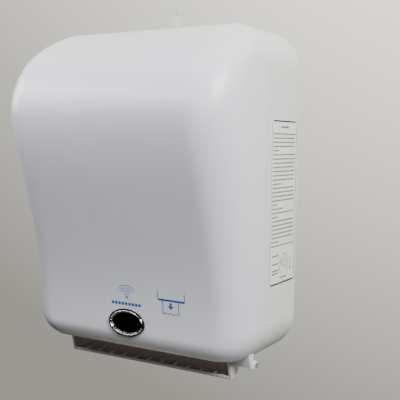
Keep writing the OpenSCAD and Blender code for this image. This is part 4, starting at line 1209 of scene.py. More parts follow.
@dataclass(frozen=True)
class BodyForm:
    """Outer form of tray and cover, as in the part's source."""

    width: float = 0.300
    height: float = 0.382
    tray_depth: float = 0.083
    parting: float = 0.0006
    bulge_depth: float = 0.192
    bulge_height: float = 0.283
    foot_depth: float = 0.135
    foot_rise: float = 0.008
    foot_radius: float = 0.024
    top_radius: float = 0.044
    bottom_radius: float = 0.046
    edge_radius: float = 0.045
    crown_power: float = 1.42
    waist_skew: float = 0.77
    wall: float = 0.0026
    rim_fall: float = 0.2
    print_gap: float = 0.00004

    @property
    def low(self) -> float:
        """Height of the bottom in the frame."""
        return -self.height / 2

    @property
    def top(self) -> float:
        """Height of the top in the frame."""
        return self.height / 2

    @property
    def bulge(self) -> float:
        """Height of the bulge in the frame."""
        return self.low + self.bulge_height

    @property
    def foot(self) -> float:
        """Height where the foot's rounding starts."""
        return self.low + self.foot_rise + self.foot_radius

    @property
    def back(self) -> float:
        """Depth of the cover's rim."""
        return self.tray_depth + self.parting

    def front_depth(self, z: float) -> float:
        """Depth of the front at a height between bulge and foot.

        Args:
            z: the height.

        Returns:
            The depth.
        """
        s = max(0.0, (self.bulge - z) / (self.bulge - self.foot))
        draw = 3 * s ** (2 * self.waist_skew) - 2 * s ** (3 * self.waist_skew)
        return self.bulge_depth - (self.bulge_depth - self.foot_depth) * draw

    def half_width(self, z: float, inset: float) -> float:
        """Half the width of the front view at a height.

        Args:
            z: the height.
            inset: how far inside the outer surface.

        Returns:
            Half the width.
        """
        for radius, over in ((self.top_radius, z - self.top + self.top_radius),
                             (self.bottom_radius, self.low + self.bottom_radius - z)):
            if over > 0:
                return self.width / 2 - radius + math.sqrt(max(0.0, (radius - inset) ** 2 - over ** 2))
        return self.width / 2 - inset

    def row(self, zone: Zone, share: float, inset: float) -> Flat:
        """Finds where a row of the surface lies.

        Args:
            zone: part of the middle line that the row is in.
            share: how far along that part, from 0 to 1.
            inset: how far inside the outer surface.

        Returns:
            Height and depth of the row.
        """
        turn = share * math.pi / 2
        if zone is Zone.CROWN:
            rise, reach = self.top - inset - self.bulge, self.bulge_depth - inset - self.back
            return self.bulge + rise * math.cos(turn), self.back + reach * math.sin(turn) ** self.crown_power
        if zone is Zone.FRONT:
            z = self.bulge + (self.foot - self.bulge) * share
            return z, self.front_depth(z) - inset
        bend = self.foot_radius - inset
        return self.foot - bend * math.sin(turn), self.foot_depth - self.foot_radius + bend * math.cos(turn)

    def on_front(self, x: float, z: float) -> Vector:
        """Place just on the front's surface."""
        return Vector((x, -self.front_depth(z) - self.print_gap, z))


BODY = BodyForm()


@dataclass
class Cover(SubAssembly):
    """Front cover with its ears and catch hook."""

    rows: dict[Zone, int] = field(default_factory=lambda: {Zone.CROWN: 40, Zone.FRONT: 60, Zone.FOOT: 14})
    side_steps: int = 6
    arc_steps: int = 18
    front_steps: int = 20
    arc_limit: float = 0.98
    arc_fall: float = 0.8
    rim_edge: float = 0.0007
    rim_steps: int = 3
    rim_angle: float = 60.0
    crease: float = 50.0
    hinge: Flat = (-0.078, -0.191)
    ear_radius: float = 0.005
    ear_from: float = 0.1265
    ear_width: float = 0.012
    ear_rise: float = 0.024
    ear_web: float = 0.014
    ear_set_in: float = 0.001
    ear_edge: float = 0.0006
    pin_hole: float = 0.0041
    pin_steps: int = 32
    hook_across: Flat = (0.011, 0.020)
    hook_tip: Flat = (-0.0276, -0.0246)
    hook_root: Flat = (-0.0896, -0.0839)
    hook_arm: Flat = (0.1794, 0.1824)
    hook_low: float = 0.1728
    hook_high: float = 0.18905

    def ring(self, zone: Zone, share: float, inset: float) -> list[Vector]:
        """Makes one row of the cover's surface.

        Args:
            zone: part of the middle line that the row is in.
            share: how far along that part, from 0 to 1.
            inset: how far inside the outer surface.

        Returns:
            Its points, from the left rim round the front to the right rim.
        """
        z, depth = BODY.row(zone, share, inset)
        half, rim = BODY.half_width(z, inset), -BODY.back - BODY.rim_fall * inset
        count = 2 * (self.side_steps + self.arc_steps + 1) + self.front_steps - 1
        if zone is Zone.CROWN and share == 0.0:
            return [Vector((half * (2 * k / (count - 1) - 1), rim, z)) for k in range(count)]
        outer = BODY.row(zone, share, 0.0)[1] - BODY.back
        full = BODY.edge_radius * math.tanh(outer / BODY.edge_radius) - self.arc_fall * inset
        radius = min((depth - BODY.back) * self.arc_limit, full)
        start = -(depth - radius)
        right = [(half, rim + (start - rim) * k / self.side_steps) for k in range(self.side_steps)]
        for k in range(self.arc_steps + 1):
            turn = math.pi / 2 * k / self.arc_steps
            right.append((half - radius * (1 - math.cos(turn)), start - radius * math.sin(turn)))
        flat = half - radius
        front = [(flat * (2 * k / self.front_steps - 1), -depth) for k in range(1, self.front_steps)]
        return [Vector((x, y, z)) for x, y in [(-x, y) for x, y in right] + front + right[::-1]]

    def shell(self) -> bpy.types.Mesh:
        """Makes the thin shell, closed along its rim.

        Returns:
            Its mesh.
        """
        order = [(Zone.CROWN, 0.0)]
        order += [(zone, k / steps) for zone, steps in self.rows.items() for k in range(1, steps + 1)]
        solid = Solid()
        for inset in (0.0, BODY.wall):
            for zone, share in order:
                solid.points.extend(self.ring(zone, share, inset))
        layer = len(solid.points) // 2
        count = layer // len(order)

        def at(j: int, k: int) -> int:
            """Number of a point of the outer surface."""
            return j * count + k

        last, end = count - 1, len(order) - 1
        for j in range(end):
            for k in range(last):
                quad = (at(j, k), at(j, k + 1), at(j + 1, k + 1), at(j + 1, k))
                solid.faces.append(quad)
                solid.faces.append(tuple(layer + i for i in reversed(quad)))
            for k in (0, last):
                solid.faces.append((at(j, k), at(j + 1, k), layer + at(j + 1, k), layer + at(j, k)))
        for j in (0, end):
            for k in range(last):
                solid.faces.append((at(j, k), at(j, k + 1), layer + at(j, k + 1), layer + at(j, k)))
        return solid.mesh("cover_shell", self.crease)

    def cut(self, piece: bpy.types.Object, cutter: bpy.types.Mesh) -> None:
        """Rounds a piece's rim and cuts an opening in it.

        Args:
            piece: the piece.
            cutter: form of the opening.
        """
        tool = bpy.data.objects.new("cutter", cutter)
        bpy.context.scene.collection.objects.link(tool)
        rim = piece.modifiers.new("rim", "BEVEL")
        rim.width = self.rim_edge
        rim.segments = self.rim_steps
        rim.limit_method = "ANGLE"
        rim.angle_limit = math.radians(self.rim_angle)
        opening = piece.modifiers.new("opening", "BOOLEAN")
        opening.object = tool
        opening.operation = "DIFFERENCE"
        opening.solver = "EXACT"
        made = bpy.data.meshes.new_from_object(piece.evaluated_get(bpy.context.evaluated_depsgraph_get()))
        piece.modifiers.clear()
        piece.data = made
        smoothed(made, self.crease)
        bpy.data.objects.remove(tool)

    def ear(self) -> Loop:
        """Draws an ear round the hinge pin, with its web up into the cover's corner.

        Returns:
            The outline.
        """
        low, back = self.hinge[1], -BODY.back - self.ear_set_in
        high, web = low + self.ear_rise, back - self.ear_web
        round_pin = arc(self.hinge, self.ear_radius, -90, 90)
        up_web = [(back, low + self.ear_radius), (back, high), (web, high), (back - self.ear_web / 2, low)]
        return round_pin + up_web

    def hook(self) -> Loop:
        """Draws the hook that reaches back past the lock's cam.

        Returns:
            The outline.
        """
        (tip, end), (root, inside), (under, over) = self.hook_tip, self.hook_root, self.hook_arm
        return [(tip, self.hook_low), (end, self.hook_low), (end, over), (inside, over),
                (inside, self.hook_high), (root, self.hook_high), (root, under), (tip, under)]

    def build(self, opening: bpy.types.Mesh) -> None:
        """Builds the cover's pieces.

        Args:
            opening: cutter for the opening at the sensor.
        """
        shell = self.add("cover_shell", self.shell(), "cover", COVER_WHITE, "cover_white", ["front_cover"])
        self.cut(shell, opening)
        hole = oval(self.pin_hole, self.pin_hole, self.hinge, self.pin_steps)
        for side, name in ((1, "right"), (-1, "left")):
            run = (side * self.ear_from, side * (self.ear_from + self.ear_width))
            ear = Solid().plate([self.ear(), hole], run, Axis.X, self.ear_edge)
            self.add(f"cover_ear_{name}", ear.mesh("ear"), "cover", COVER_WHITE, "cover_white")
        hook = Solid().plate([self.hook()], self.hook_across, Axis.X)
        self.add("cover_hook", hook.mesh("hook"), "cover", COVER_WHITE, "cover_white")


@dataclass
class FrontSigns(SubAssembly):
    """Two plain signs on the cover: waves from a hand-height eye, and a sheet drawn from a slot."""

    eye: Flat = (0.0015, BODY.low + 0.0725)
    eye_size: float = 0.004
    waves: tuple[float, ...] = (0.0042, 0.0075, 0.0108, 0.0141)
    wave_span: Flat = (38.0, 142.0)
    wave_line: float = 0.0011
    curve_steps: int = 20
    blocks: int = 9
    block_from: Flat = (-0.0205, BODY.low + 0.0643)
    block_pitch: float = 0.0047
    block_size: float = 0.0034
    slot: Flat = (0.0445, 0.0795)
    slot_up: float = BODY.low + 0.0752
    slot_line: float = 0.0023
    wall_from: float = 0.001
    wall_rise: float = 0.0095
    line: float = 0.0009
    sheet_from: float = 0.006
    sheet_drop: float = 0.0165
    teeth: int = 6
    tooth: Flat = (0.0035, 0.0022)
    arrow: float = 0.0165
    arrow_from: float = 0.0025
    arrow_neck: float = 0.0065
    arrow_tip: float = 0.0108
    arrow_halves: Flat = (0.0015, 0.0042)

    def sensing(self) -> tuple[Print, Print]:
        """Draws the waves with their eye, and the row of blocks under them.

        Returns:
            The waves and the blocks.
        """
        waves, blocks = Print(BODY.on_front), Print(BODY.on_front)
        for radius in self.waves:
            waves.stroke(arc(self.eye, radius, *self.wave_span, self.curve_steps), self.wave_line)
        waves.patch(oval(self.eye_size, self.eye_size, self.eye, self.curve_steps))
        for k in range(self.blocks):
            start, up = self.block_from[0] + self.block_pitch * k, self.block_from[1]
            blocks.stroke([(start, up), (start + self.block_size, up)], self.block_size)
        return waves, blocks

    def sheet(self) -> Print:
        """Draws the slot between its walls, the sheet with its torn edge, and an arrow down.

        Returns:
            The marks.
        """
        marks = Print(BODY.on_front)
        slot = self.slot_up
        for side in self.slot:
            marks.stroke([(side, slot + self.wall_rise), (side, slot + self.wall_from)], self.line)
        marks.stroke([(side, slot) for side in self.slot], self.slot_line)
        first, drop = self.slot[0] + self.sheet_from, slot - self.sheet_drop
        step, rise = self.tooth
        edge = [(first + step * k, drop + rise * (k % 2)) for k in range(self.teeth + 1)]
        marks.stroke([(edge[0][0], slot)] + edge + [(edge[-1][0], slot)], self.line)
        middle, (shaft, head) = self.slot[0] + self.arrow, self.arrow_halves
        left, right = middle - shaft, middle + shaft
        top, neck = slot - self.arrow_from, slot - self.arrow_neck
        marks.patch([(left, top), (right, top), (right, neck), (left, neck)])
        return marks.patch([(middle - head, neck), (middle + head, neck), (middle, slot - self.arrow_tip)])

    def build(self) -> None:
        """Prints the signs."""
        waves, blocks = self.sensing()
        self.printed("sign_waves", waves, "cover", INK_PALE)
        self.printed("sign_base", blocks, "cover", INK_BLUE)
        self.printed("sign_sheet", self.sheet(), "cover", INK_BLUE)


class Ridge(NamedTuple):
    """A chrome ridge: its piece, its middle's inset, half its width, its rise and what it stands for."""

    name: str
    middle: float
    half: float
    rise: float
    replaces: tuple[str, ...]


class Chip(NamedTuple):
    """A chip on the sensor's board: its place from the board's middle, and its size."""

    across: float
    up: float
    wide: float
    tall: float
    thick: float


@dataclass
class SensorWindow(SubAssembly):
    """Chrome oval ring with its black window, and the sensor behind them."""

    height: float = BODY.low + 0.042
    width: float = 0.050
    tall: float = 0.033
    rim: float = 0.005
    sides: int = 96
    opening_inset: float = 0.0003
    opening_reach: float = 0.02
    seat: tuple[Flat, ...] = (
        (0.0, -0.0056), (0.0, 0.0012), (0.0003, 0.0019), (0.0009, 0.0022), (0.0015, 0.0019), (0.0019, 0.0012),
        (0.0037, 0.0009), (0.0041, 0.0007), (0.0045, 0.0003), (0.005, -0.0004), (0.005, -0.0056),
    )
    ridges: tuple[Ridge, ...] = (
        Ridge("sensor_ring_outer", 0.0027, 0.0010, 0.0025, ("sensor_bezel",)),
        Ridge("sensor_ring_inner", 0.0044, 0.0003, 0.0011, ()),
    )
    ridge_foot: float = 0.0002
    ridge_steps: int = 12
    ridge_crease: float = 70.0
    crease: float = 60.0
    dome: tuple[Flat, ...] = (
        (0.0, -0.0046), (0.0, -0.0016), (0.0004, -0.0011), (0.0016, -0.0007), (0.004, -0.0003),
        (0.0075, -0.0001), (0.0105, 0.0),
    )
    chips: tuple[Chip, ...] = (
        Chip(0.0, 0.0018, 0.008, 0.0042, 0.0015), Chip(0.0, -0.0046, 0.0036, 0.0016, 0.0008),
        Chip(0.0162, 0.0035, 0.0026, 0.0024, 0.0009), Chip(0.0162, -0.0035, 0.0026, 0.0024, 0.0009),
    )
    chip_corner: float = 0.0003
    chip_edge: float = 0.0002
    legs: int = 4
    leg_width: float = 0.0006
    leg_reach: float = 0.0009
    leg_rise: float = 0.4
    leg_edge: float = 0.0001
    plug_across: float = -0.0168
    plug_depth: float = 0.0045
    plug_size: Flat = (0.0044, 0.009)
    plug_corner: float = 0.0004
    well_size: Flat = (0.0028, 0.0074)
    well_corner: float = 0.0002

    @property
    def face(self) -> float:
        """Where the cover's front stands at the sensor."""
        return -BODY.front_depth(self.height)

    def ring(self, inset: float, out: float) -> list[Vector]:
        """Oval drawn in by inset, out in front of the cover."""
        loop = oval(self.width - 2 * inset, self.tall - 2 * inset, (0.0, self.height), self.sides)
        return [Vector((x, self.face - out, z)) for x, z in loop]

    def opening(self) -> bpy.types.Mesh:
        """Cutter for the opening in the cover."""
        ends = [self.ring(self.opening_inset, out) for out in (-self.opening_reach, self.opening_reach)]
        return Solid().loft(ends).mesh("cutter")

    def build(self) -> None:
        """Builds the ring and the window, and dresses the sensor behind."""
        # Black seat round the chrome ridges: a painted dark reflection of the chrome ring, and painted shade
        # at its edge.
        seat = Solid().loft([self.ring(*p) for p in self.seat], loop=True)
        self.add("sensor_seat_shade_and_reflection", seat.mesh("seat", self.crease), "cover", SEAT_SHADE_AND_REFLECTION, "window_black")
        turns = [math.pi * k / self.ridge_steps for k in range(self.ridge_steps + 1)]
        for name, middle, half, rise, replaces in self.ridges:
            crest = rise - self.ridge_foot
            ridge = [(middle - half * math.cos(t), self.ridge_foot + crest * math.sin(t)) for t in turns]
            ring = Solid().loft([self.ring(*p) for p in ridge], loop=True)
            self.add(name, ring.mesh("ring", self.ridge_crease), "cover", CHROME, "chrome", replaces)
        lens = Solid().loft([self.ring(self.rim + inset, out) for inset, out in self.dome])
        mesh = lens.mesh("lens", self.crease)
        self.add("sensor_lens", mesh, "cover", LENS, "window_black", ["sensor_window"])
        self.dress(GREY_PLASTIC, "sensor_bar")
        self.dress(BOARD, "sensor_board")
        self.dress(LENS, "sensor_eyes")
        self.mounted()

    def mounted(self) -> None:
        """Mounts the small parts on the sensor's board."""
        low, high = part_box("sensor_board")
        front, middle = low[1], (low[2] + high[2]) / 2
        chips, legs, plug = Solid(), Solid(), Solid()
        for chip in self.chips:
            up = middle + chip.up
            outline = centred((chip.across, up), chip.wide, chip.tall, self.chip_corner)
            chips.plate([outline], (front - chip.thick, front), Axis.Y, self.chip_edge)
            for k in range(self.legs):
                across = chip.across + chip.wide * ((k + 0.5) / self.legs - 0.5)
                reach = chip.tall + 2 * self.leg_reach
                leg = centred((across, up), self.leg_width, reach, self.leg_edge, 2)
                legs.plate([leg], (front - self.leg_rise * chip.thick, front), Axis.Y, self.leg_edge)
        centre = (self.plug_across, middle)
        socket = centred(centre, *self.plug_size, self.plug_corner)
        well = centred(centre, *self.well_size, self.well_corner)
        plug.plate([socket, well], (front - self.plug_depth, front), Axis.Y, self.chip_edge)
        self.add("sensor_chips", chips.mesh("chips"), "base", CHIP_BLACK, "dark_plastic")
        self.add("sensor_legs", legs.mesh("legs"), "base", STEEL, "steel")
        self.add("sensor_plug", plug.mesh("plug"), "base", NYLON, "nylon")


@dataclass
class Tray(SubAssembly):
    """Rear tray with the hinge pins."""

    def build(self) -> None:
        """Dresses the tray."""
        self.dress(TRAY_WHITE, "rear_housing")
        self.dress(STEEL, "hinge_pins")


@dataclass
class Chute(SubAssembly):
    """Scoop under the cover with its guide and tear bar."""

    def build(self) -> None:
        """Dresses the chute."""
        self.dress(CHUTE_WHITE, "paper_chute")
        # The guide gets the painted shade brown, not a colour of its own.
        self.dress(GUIDE_PAINTED_SHADE, "chute_guide")
        self.dress(STEEL, "tear_bar", "tear_bar_screws", "chute_screws")


@dataclass
class SideSticker(SubAssembly):
    """Sticker on the tray's right side with a thin border, plain bars and a small drawing."""

    near: float = 0.004
    width: float = 0.070
    low: float = BODY.low + 0.089
    tall: float = 0.188
    film: float = 0.0003
    edge: float = 0.0001
    corner: float = 0.005
    corner_steps: int = 8
    print_gap: float = 0.00003
    ink: float = 0.00003
    border_inset: float = 0.0014
    border_line: float = 0.0009
    border_step: float = 0.01
    border_heavy: float = 0.0018
    heading: tuple[float, ...] = (0.024, 0.046, 0.180, 0.0018)
    footing: tuple[float, ...] = (0.029, 0.047, 0.0075, 0.0016)
    lines: int = 28
    first_line: float = 0.0158
    line_pitch: float = 0.0047
    line_width: float = 0.0015
    margin: float = 0.0045
    rag: float = 0.004
    word: Flat = (0.004, 0.011)
    word_gap: float = 0.001
    least_word: float = 0.002
    short_lines: dict[int, float] = field(
        default_factory=lambda: {4: 0.022, 12: 0.028, 17: 0.017, 18: 0.033, 20: 0.022, 26: 0.026}
    )
    seed: int = 11
    roll: Flat = (0.042, 0.027)
    roll_sizes: tuple[tuple[float, int], ...] = ((0.015, 32), (0.005, 24))
    thin_lines: tuple[tuple[Flat, Flat], ...] = (
        ((0.0495, 0.027), (0.0495, 0.0125)), ((0.058, 0.026), (0.058, 0.016)),
    )
    arrow_head: tuple[Flat, ...] = ((0.056, 0.0165), (0.060, 0.0165), (0.058, 0.0125))
    notes: tuple[float, ...] = (0.034, 0.0245, 0.017, 0.0135)
    note_span: Flat = (0.007, 0.024)
    note_width: float = 0.0014
    lead_from: float = 0.025
    lead_to: Flat = (0.034, 0.027)
    lead_line: float = 0.0006

    def lay(self, across: float, up: float) -> Vector:
        """Place on the sticker, across from its front edge and up from its lower edge."""
        out = BODY.width / 2 + self.film + self.print_gap
        return Vector((out, -self.near - self.width + across, self.low + up))

    def border(self) -> Print:
        """Draws the border, heavier above and below.

        Returns:
            The marks.
        """
        marks, edge = Print(self.lay), self.border_inset
        right, top, radius = self.width - edge, self.tall - edge, self.corner - edge
        outline = rounded_rectangle(edge, edge, right, top, radius, self.corner_steps)
        marks.stroke(outline, self.border_line, True, self.border_step)
        for up in (edge, top):
            marks.stroke([(self.corner, up), (self.width - self.corner, up)], self.border_heavy)
        return marks

    def bars(self) -> Print:
        """Draws rows of short bars between a heading and a footing.

        Returns:
            The marks.
        """
        draw = np.random.default_rng(self.seed)
        marks = Print(self.lay).bar(*self.heading).bar(*self.footing)
        for k in range(self.lines):
            up = self.tall - self.first_line - k * self.line_pitch
            reach = self.short_lines.get(k, self.width - self.margin - draw.uniform(0, self.rag))
            start = self.margin
            while start < reach - self.least_word:
                end = min(reach, start + draw.uniform(*self.word))
                marks.bar(start, end, up, self.line_width)
                start = end + self.word_gap
        return marks

    def drawing(self) -> Print:
        """Draws a roll, its sheet and an arrow, in thin lines.

        Returns:
            The marks.
        """
        marks = Print(self.lay)
        for size, steps in self.roll_sizes:
            marks.stroke(oval(size, size, self.roll, steps), self.border_line, True)
        for line in self.thin_lines:
            marks.stroke(list(line), self.border_line)
        marks.patch(list(self.arrow_head))
        for up in self.notes:
            marks.bar(*self.note_span, up, self.note_width)
            marks.stroke([(self.lead_from, up), self.lead_to], self.lead_line)
        return marks

    def build(self) -> None:
        """Builds the sticker and prints it."""
        x, front, top = BODY.width / 2, -self.near - self.width, self.low + self.tall
        loop = rounded_rectangle(front, self.low, -self.near, top, self.corner, self.corner_steps)
        solid = Solid().plate([loop], (x, x + self.film), Axis.X, self.edge)
        self.add("sticker", solid.mesh("sticker"), "base", STICKER, "label_paper", ["side_label"])
        self.printed("sticker_border", self.border(), "base", INK_DARK, self.ink)
        self.printed("sticker_bars", self.bars(), "base", INK_GREY, self.ink)
        self.printed("sticker_drawing", self.drawing(), "base", INK_DARK, self.ink)


@dataclass
class TopLock(SubAssembly):
    """Service key in the top lock, with the barrel and cam that it turns."""

    depth: float = 0.032
    base: float = BODY.top + 0.0018
    bow_width: float = 0.018
    bow_height: float = 0.026
    bow_sink: float = 0.002
    neck_width: float = 0.008
    neck_height: float = 0.006
    neck_rise: float = 0.004
    blade_width: float = 0.007
    blade_length: float = 0.009
    blade_corner: float = 0.001
    thickness: float = 0.0022
    edge: float = 0.0005
    hole: float = 0.004
    hole_rise: float = 0.7
    hole_steps: int = 24

    def outline(self) -> Loop:
        """Draws the key, bow up and blade down.

        Returns:
            The outline.
        """
        neck, blade, foot = self.neck_width / 2, self.blade_width / 2, self.base - self.blade_length
        middle = self.base + self.neck_height + self.bow_height / 2 - self.bow_sink
        around = oval(self.bow_width, self.bow_height, (0.0, middle))
        bow = [p for p in around if abs(p[0]) > neck or p[1] > middle]
        first = next(k for k, p in enumerate(bow) if p[0] > 0 and p[1] < middle and bow[k - 1][0] < 0)
        shoulder, cut = self.base + self.neck_rise, self.blade_corner
        right = [(neck, shoulder), (neck, self.base), (blade, self.base), (blade, foot + cut),
                 (blade - cut, foot)]
        return bow[first:] + bow[:first] + [(-x, z) for x, z in right] + right[::-1]

    def build(self) -> None:
        """Builds the key and dresses the lock."""
        height = self.base + self.neck_height + self.hole_rise * self.bow_height
        eye = oval(self.hole, self.hole, (0.0, height), self.hole_steps)
        run = (-self.depth - self.thickness / 2, -self.depth + self.thickness / 2)
        solid = Solid().plate([self.outline(), eye], run, Axis.Y, self.edge)
        self.add("key", solid.mesh("key"), "lock", KEY_CLEAR, "key_clear", ["service_key"])
        self.dress(STEEL, "lock_cam", "cam_screw")
        self.dress(CHROME, "lock_barrel")


@dataclass
class Feed(SubAssembly):
    """Feed roller, chassis and drive."""

    axis: Flat = (-0.076, -0.131)
    length: float = 0.194
    sleeves: int = 4
    sleeve_width: float = 0.034
    sleeve_radius: float = 0.013
    sleeve_bore: float = 0.0115
    sleeve_lip: float = 0.0008
    ribs: int = 48
    rib_depth: float = 0.0004
    rib_steepness: float = 2.2
    rib_steps: int = 8
    crease: float = 60.0
    cap_rise: float = 0.0016
    cap_share: float = 0.85
    cap_round: float = 0.3
    cap_bore: float = 0.001
    cap_sides: int = 48
    boss_rise: float = 1.6
    boss_shares: Flat = (0.4, 0.36)
    tag_share: float = 0.62
    tag_rise: float = 3.5
    tag_size: Flat = (0.0024, 0.0006)
    tag_edge: float = 0.0001

    def places(self) -> list[float]:
        """Middles of the sleeves along the roller."""
        pitch = self.length / self.sleeves
        return [-self.length / 2 + (k + 0.5) * pitch for k in range(self.sleeves)]

    def rib(self, turn: float) -> float:
        """Rise of the ribs at an angle, flat on top and between."""
        return self.rib_depth * min(1.0, max(-1.0, self.rib_steepness * math.cos(self.ribs * turn)))

    def build(self) -> None:
        """Builds the ribbed sleeves and dresses the rest."""
        sleeves = Solid()
        outer = self.sleeve_radius - self.rib_depth
        for middle in self.places():
            profile = tyre(middle, self.sleeve_width, self.sleeve_bore, outer, self.sleeve_lip)
            sleeves.lathe(profile, self.axis, Axis.X, self.rib_steps * self.ribs, True, self.rib)
        mesh = sleeves.mesh("sleeves", self.crease)
        self.add("grip_sleeves", mesh, "feed", RUBBER, "rubber", ["feed_sleeves"])
        self.dress(GREY_PLASTIC, "chassis_left", "chassis_right", "chassis_spine", "gear_cover")
        self.dress(STEEL, "spine_screws", "plate_screws", "gear_cover_screws")
        self.dress(STEEL, "feed_shaft", "idler_pin", "motor")
        self.dress(BRASS, "shaft_bushings", "motor_pinion")
        self.dress(DARK_PLASTIC, "feed_drum")
        self.dress(NYLON, "roller_gear", "idler_gear")
        self.motor_end()

    def motor_end(self) -> None:
        """Builds the cap and the terminals at the motor's rear end."""
        low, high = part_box("motor")
        end, centre = high[0], ((low[1] + high[1]) / 2, (low[2] + high[2]) / 2)
        rim, rise = self.cap_share * (high[1] - low[1]) / 2, self.cap_rise
        top, boss = end + rise, end + self.boss_rise * rise
        bend, (foot, head) = self.cap_round * rise, self.boss_shares
        profile = [(end, self.cap_bore), (end, rim), (top - bend, rim), (top, rim - bend), (top, foot * rim),
                   (boss, head * rim), (boss, self.cap_bore)]
        cap = Solid().lathe(profile, centre, Axis.X, self.cap_sides)
        self.add("motor_cap", cap.mesh("cap"), "base", CHIP_BLACK, "dark_plastic")
        tags = Solid()
        for side in (-1.0, 1.0):
            middle = (centre[0] + self.tag_share * rim * side, centre[1])
            loop = centred(middle, *self.tag_size, self.tag_edge, 2)
            tags.plate([loop], (top, end + self.tag_rise * rise), Axis.X, self.tag_edge)
        self.add("motor_tags", tags.mesh("tags"), "base", BRASS, "brass")


@dataclass
class Pinch(SubAssembly):
    """Sprung pinch roller in front of the feed roller."""

    axis: Flat = (-0.0953036, -0.1400022)
    radius: float = 0.008
    bore: float = 0.00255
    lip: float = 0.0009
    crease: float = 60.0
    spring: CoilSpring = CoilSpring((-0.104, -0.109), 0.1023, 0.0051, 0.0027, 3, 0.0004, Axis.X)

    def build(self, feed: Feed) -> None:
        """Builds rollers and springs, and dresses the frame.

        Args:
            feed: the feed roller that the rollers press on.
        """
        rollers = Solid()
        for middle in feed.places():
            profile = tyre(middle, feed.sleeve_width, self.bore, self.radius, self.lip)
            rollers.lathe(profile, self.axis, loop=True)
        mesh = rollers.mesh("tyres", self.crease)
        self.add("pinch_tyres", mesh, "pinch_roll", RUBBER, "rubber", ["pinch_rollers"])
        springs = Solid()
        for mirror in (1.0, -1.0):
            springs.sweep(self.spring.path(mirror), self.spring.wire)
        mesh = springs.mesh("coils", self.crease)
        self.add("pinch_coils", mesh, "pinch", STEEL, "steel", ["pinch_springs"])
        self.dress(GREY_PLASTIC, "pinch_frame")
        self.dress(STEEL, "pinch_pivots", "pinch_shaft")


@dataclass
class RollHolder(SubAssembly):
    """Arms with their hubs, and the wound roll that they carry."""

    half_width: float = 0.100
    radius: float = 0.062
    roll_sides: int = 128
    layers: int = 44
    layer_gap: Flat = (0.0002, 0.001)
    layer_sink: float = 0.0001
    layer_spread: float = 0.00025
    seed: int = 5
    shoulder: tuple[Flat, ...] = ((0.0004, 0.0006), (0.0012, 0.0001), (0.0044, 0.0))
    end_facing: float = 0.5
    core_radius: float = 0.022
    core_bore: float = 0.020
    core_lip: float = 0.0004
    core_sides: int = 96
    core_crease: float = 50.0
    crease: float = 60.0
    spring: CoilSpring = CoilSpring((0.113, -0.015), 0.0734, 0.0074, 0.0028, 4, 0.0005, Axis.Z)

    def wound(self) -> list[Flat]:
        """Draws the roll's right half, its layers standing a little in and out.

        Returns:
            Places along the axis, each with its radius.
        """
        draw = np.random.default_rng(self.seed)
        profile = []
        inner, outer = self.core_radius + self.layer_gap[0], self.radius - self.layer_gap[1]
        for k in range(self.layers + 1):
            sink = abs(float(draw.normal(0.0, self.layer_spread))) + self.layer_sink
            profile.append((self.half_width - sink, inner + (outer - inner) * k / self.layers))
        return profile + [(self.half_width - in_by, self.radius - under) for in_by, under in self.shoulder]

    def tube(self) -> list[Flat]:
        """Draws the core's section.

        Returns:
            Places along the axis, each with its radius.
        """
        half, lip = self.half_width, self.core_lip
        right = [(half - lip, self.core_radius), (half, self.core_radius - lip),
                 (half, self.core_bore + lip), (half - lip, self.core_bore)]
        return right + [(-x, r) for x, r in right[::-1]]

    def build(self) -> None:
        """Builds roll and core, and dresses the arms."""
        right = self.wound()
        left = [(-x, r) for x, r in right[::-1]]
        roll = Solid().lathe(right + left, ROLL_AXIS, Axis.X, self.roll_sides, True)
        mesh = roll.mesh("paper", self.crease)
        wound = self.add("wound_paper", mesh, "roll", PAPER, "paper", ["paper_roll"])
        wound.data.materials.append(PAPER_END.material())
        for face in wound.data.polygons:
            face.material_index = int(abs(face.normal.x) > self.end_facing)
        core = Solid().lathe(self.tube(), ROLL_AXIS, Axis.X, self.core_sides, True)
        self.add("card_core", core.mesh("core", self.core_crease), "roll", CARD, "cardboard", ["roll_core"])
        coil = Solid().sweep(self.spring.path(), self.spring.wire)
        self.add("arm_coil", coil.mesh("coil", self.crease), "base", STEEL, "steel", ["arm_spring"])
        self.dress(GREY_PLASTIC, "roll_arm_left", "roll_arm_right", "arm_bracket")
        self.dress(PANEL_GREY, "roll_hub_left", "roll_hub_right")
        self.dress(STEEL, "arm_pin", "arm_screws")


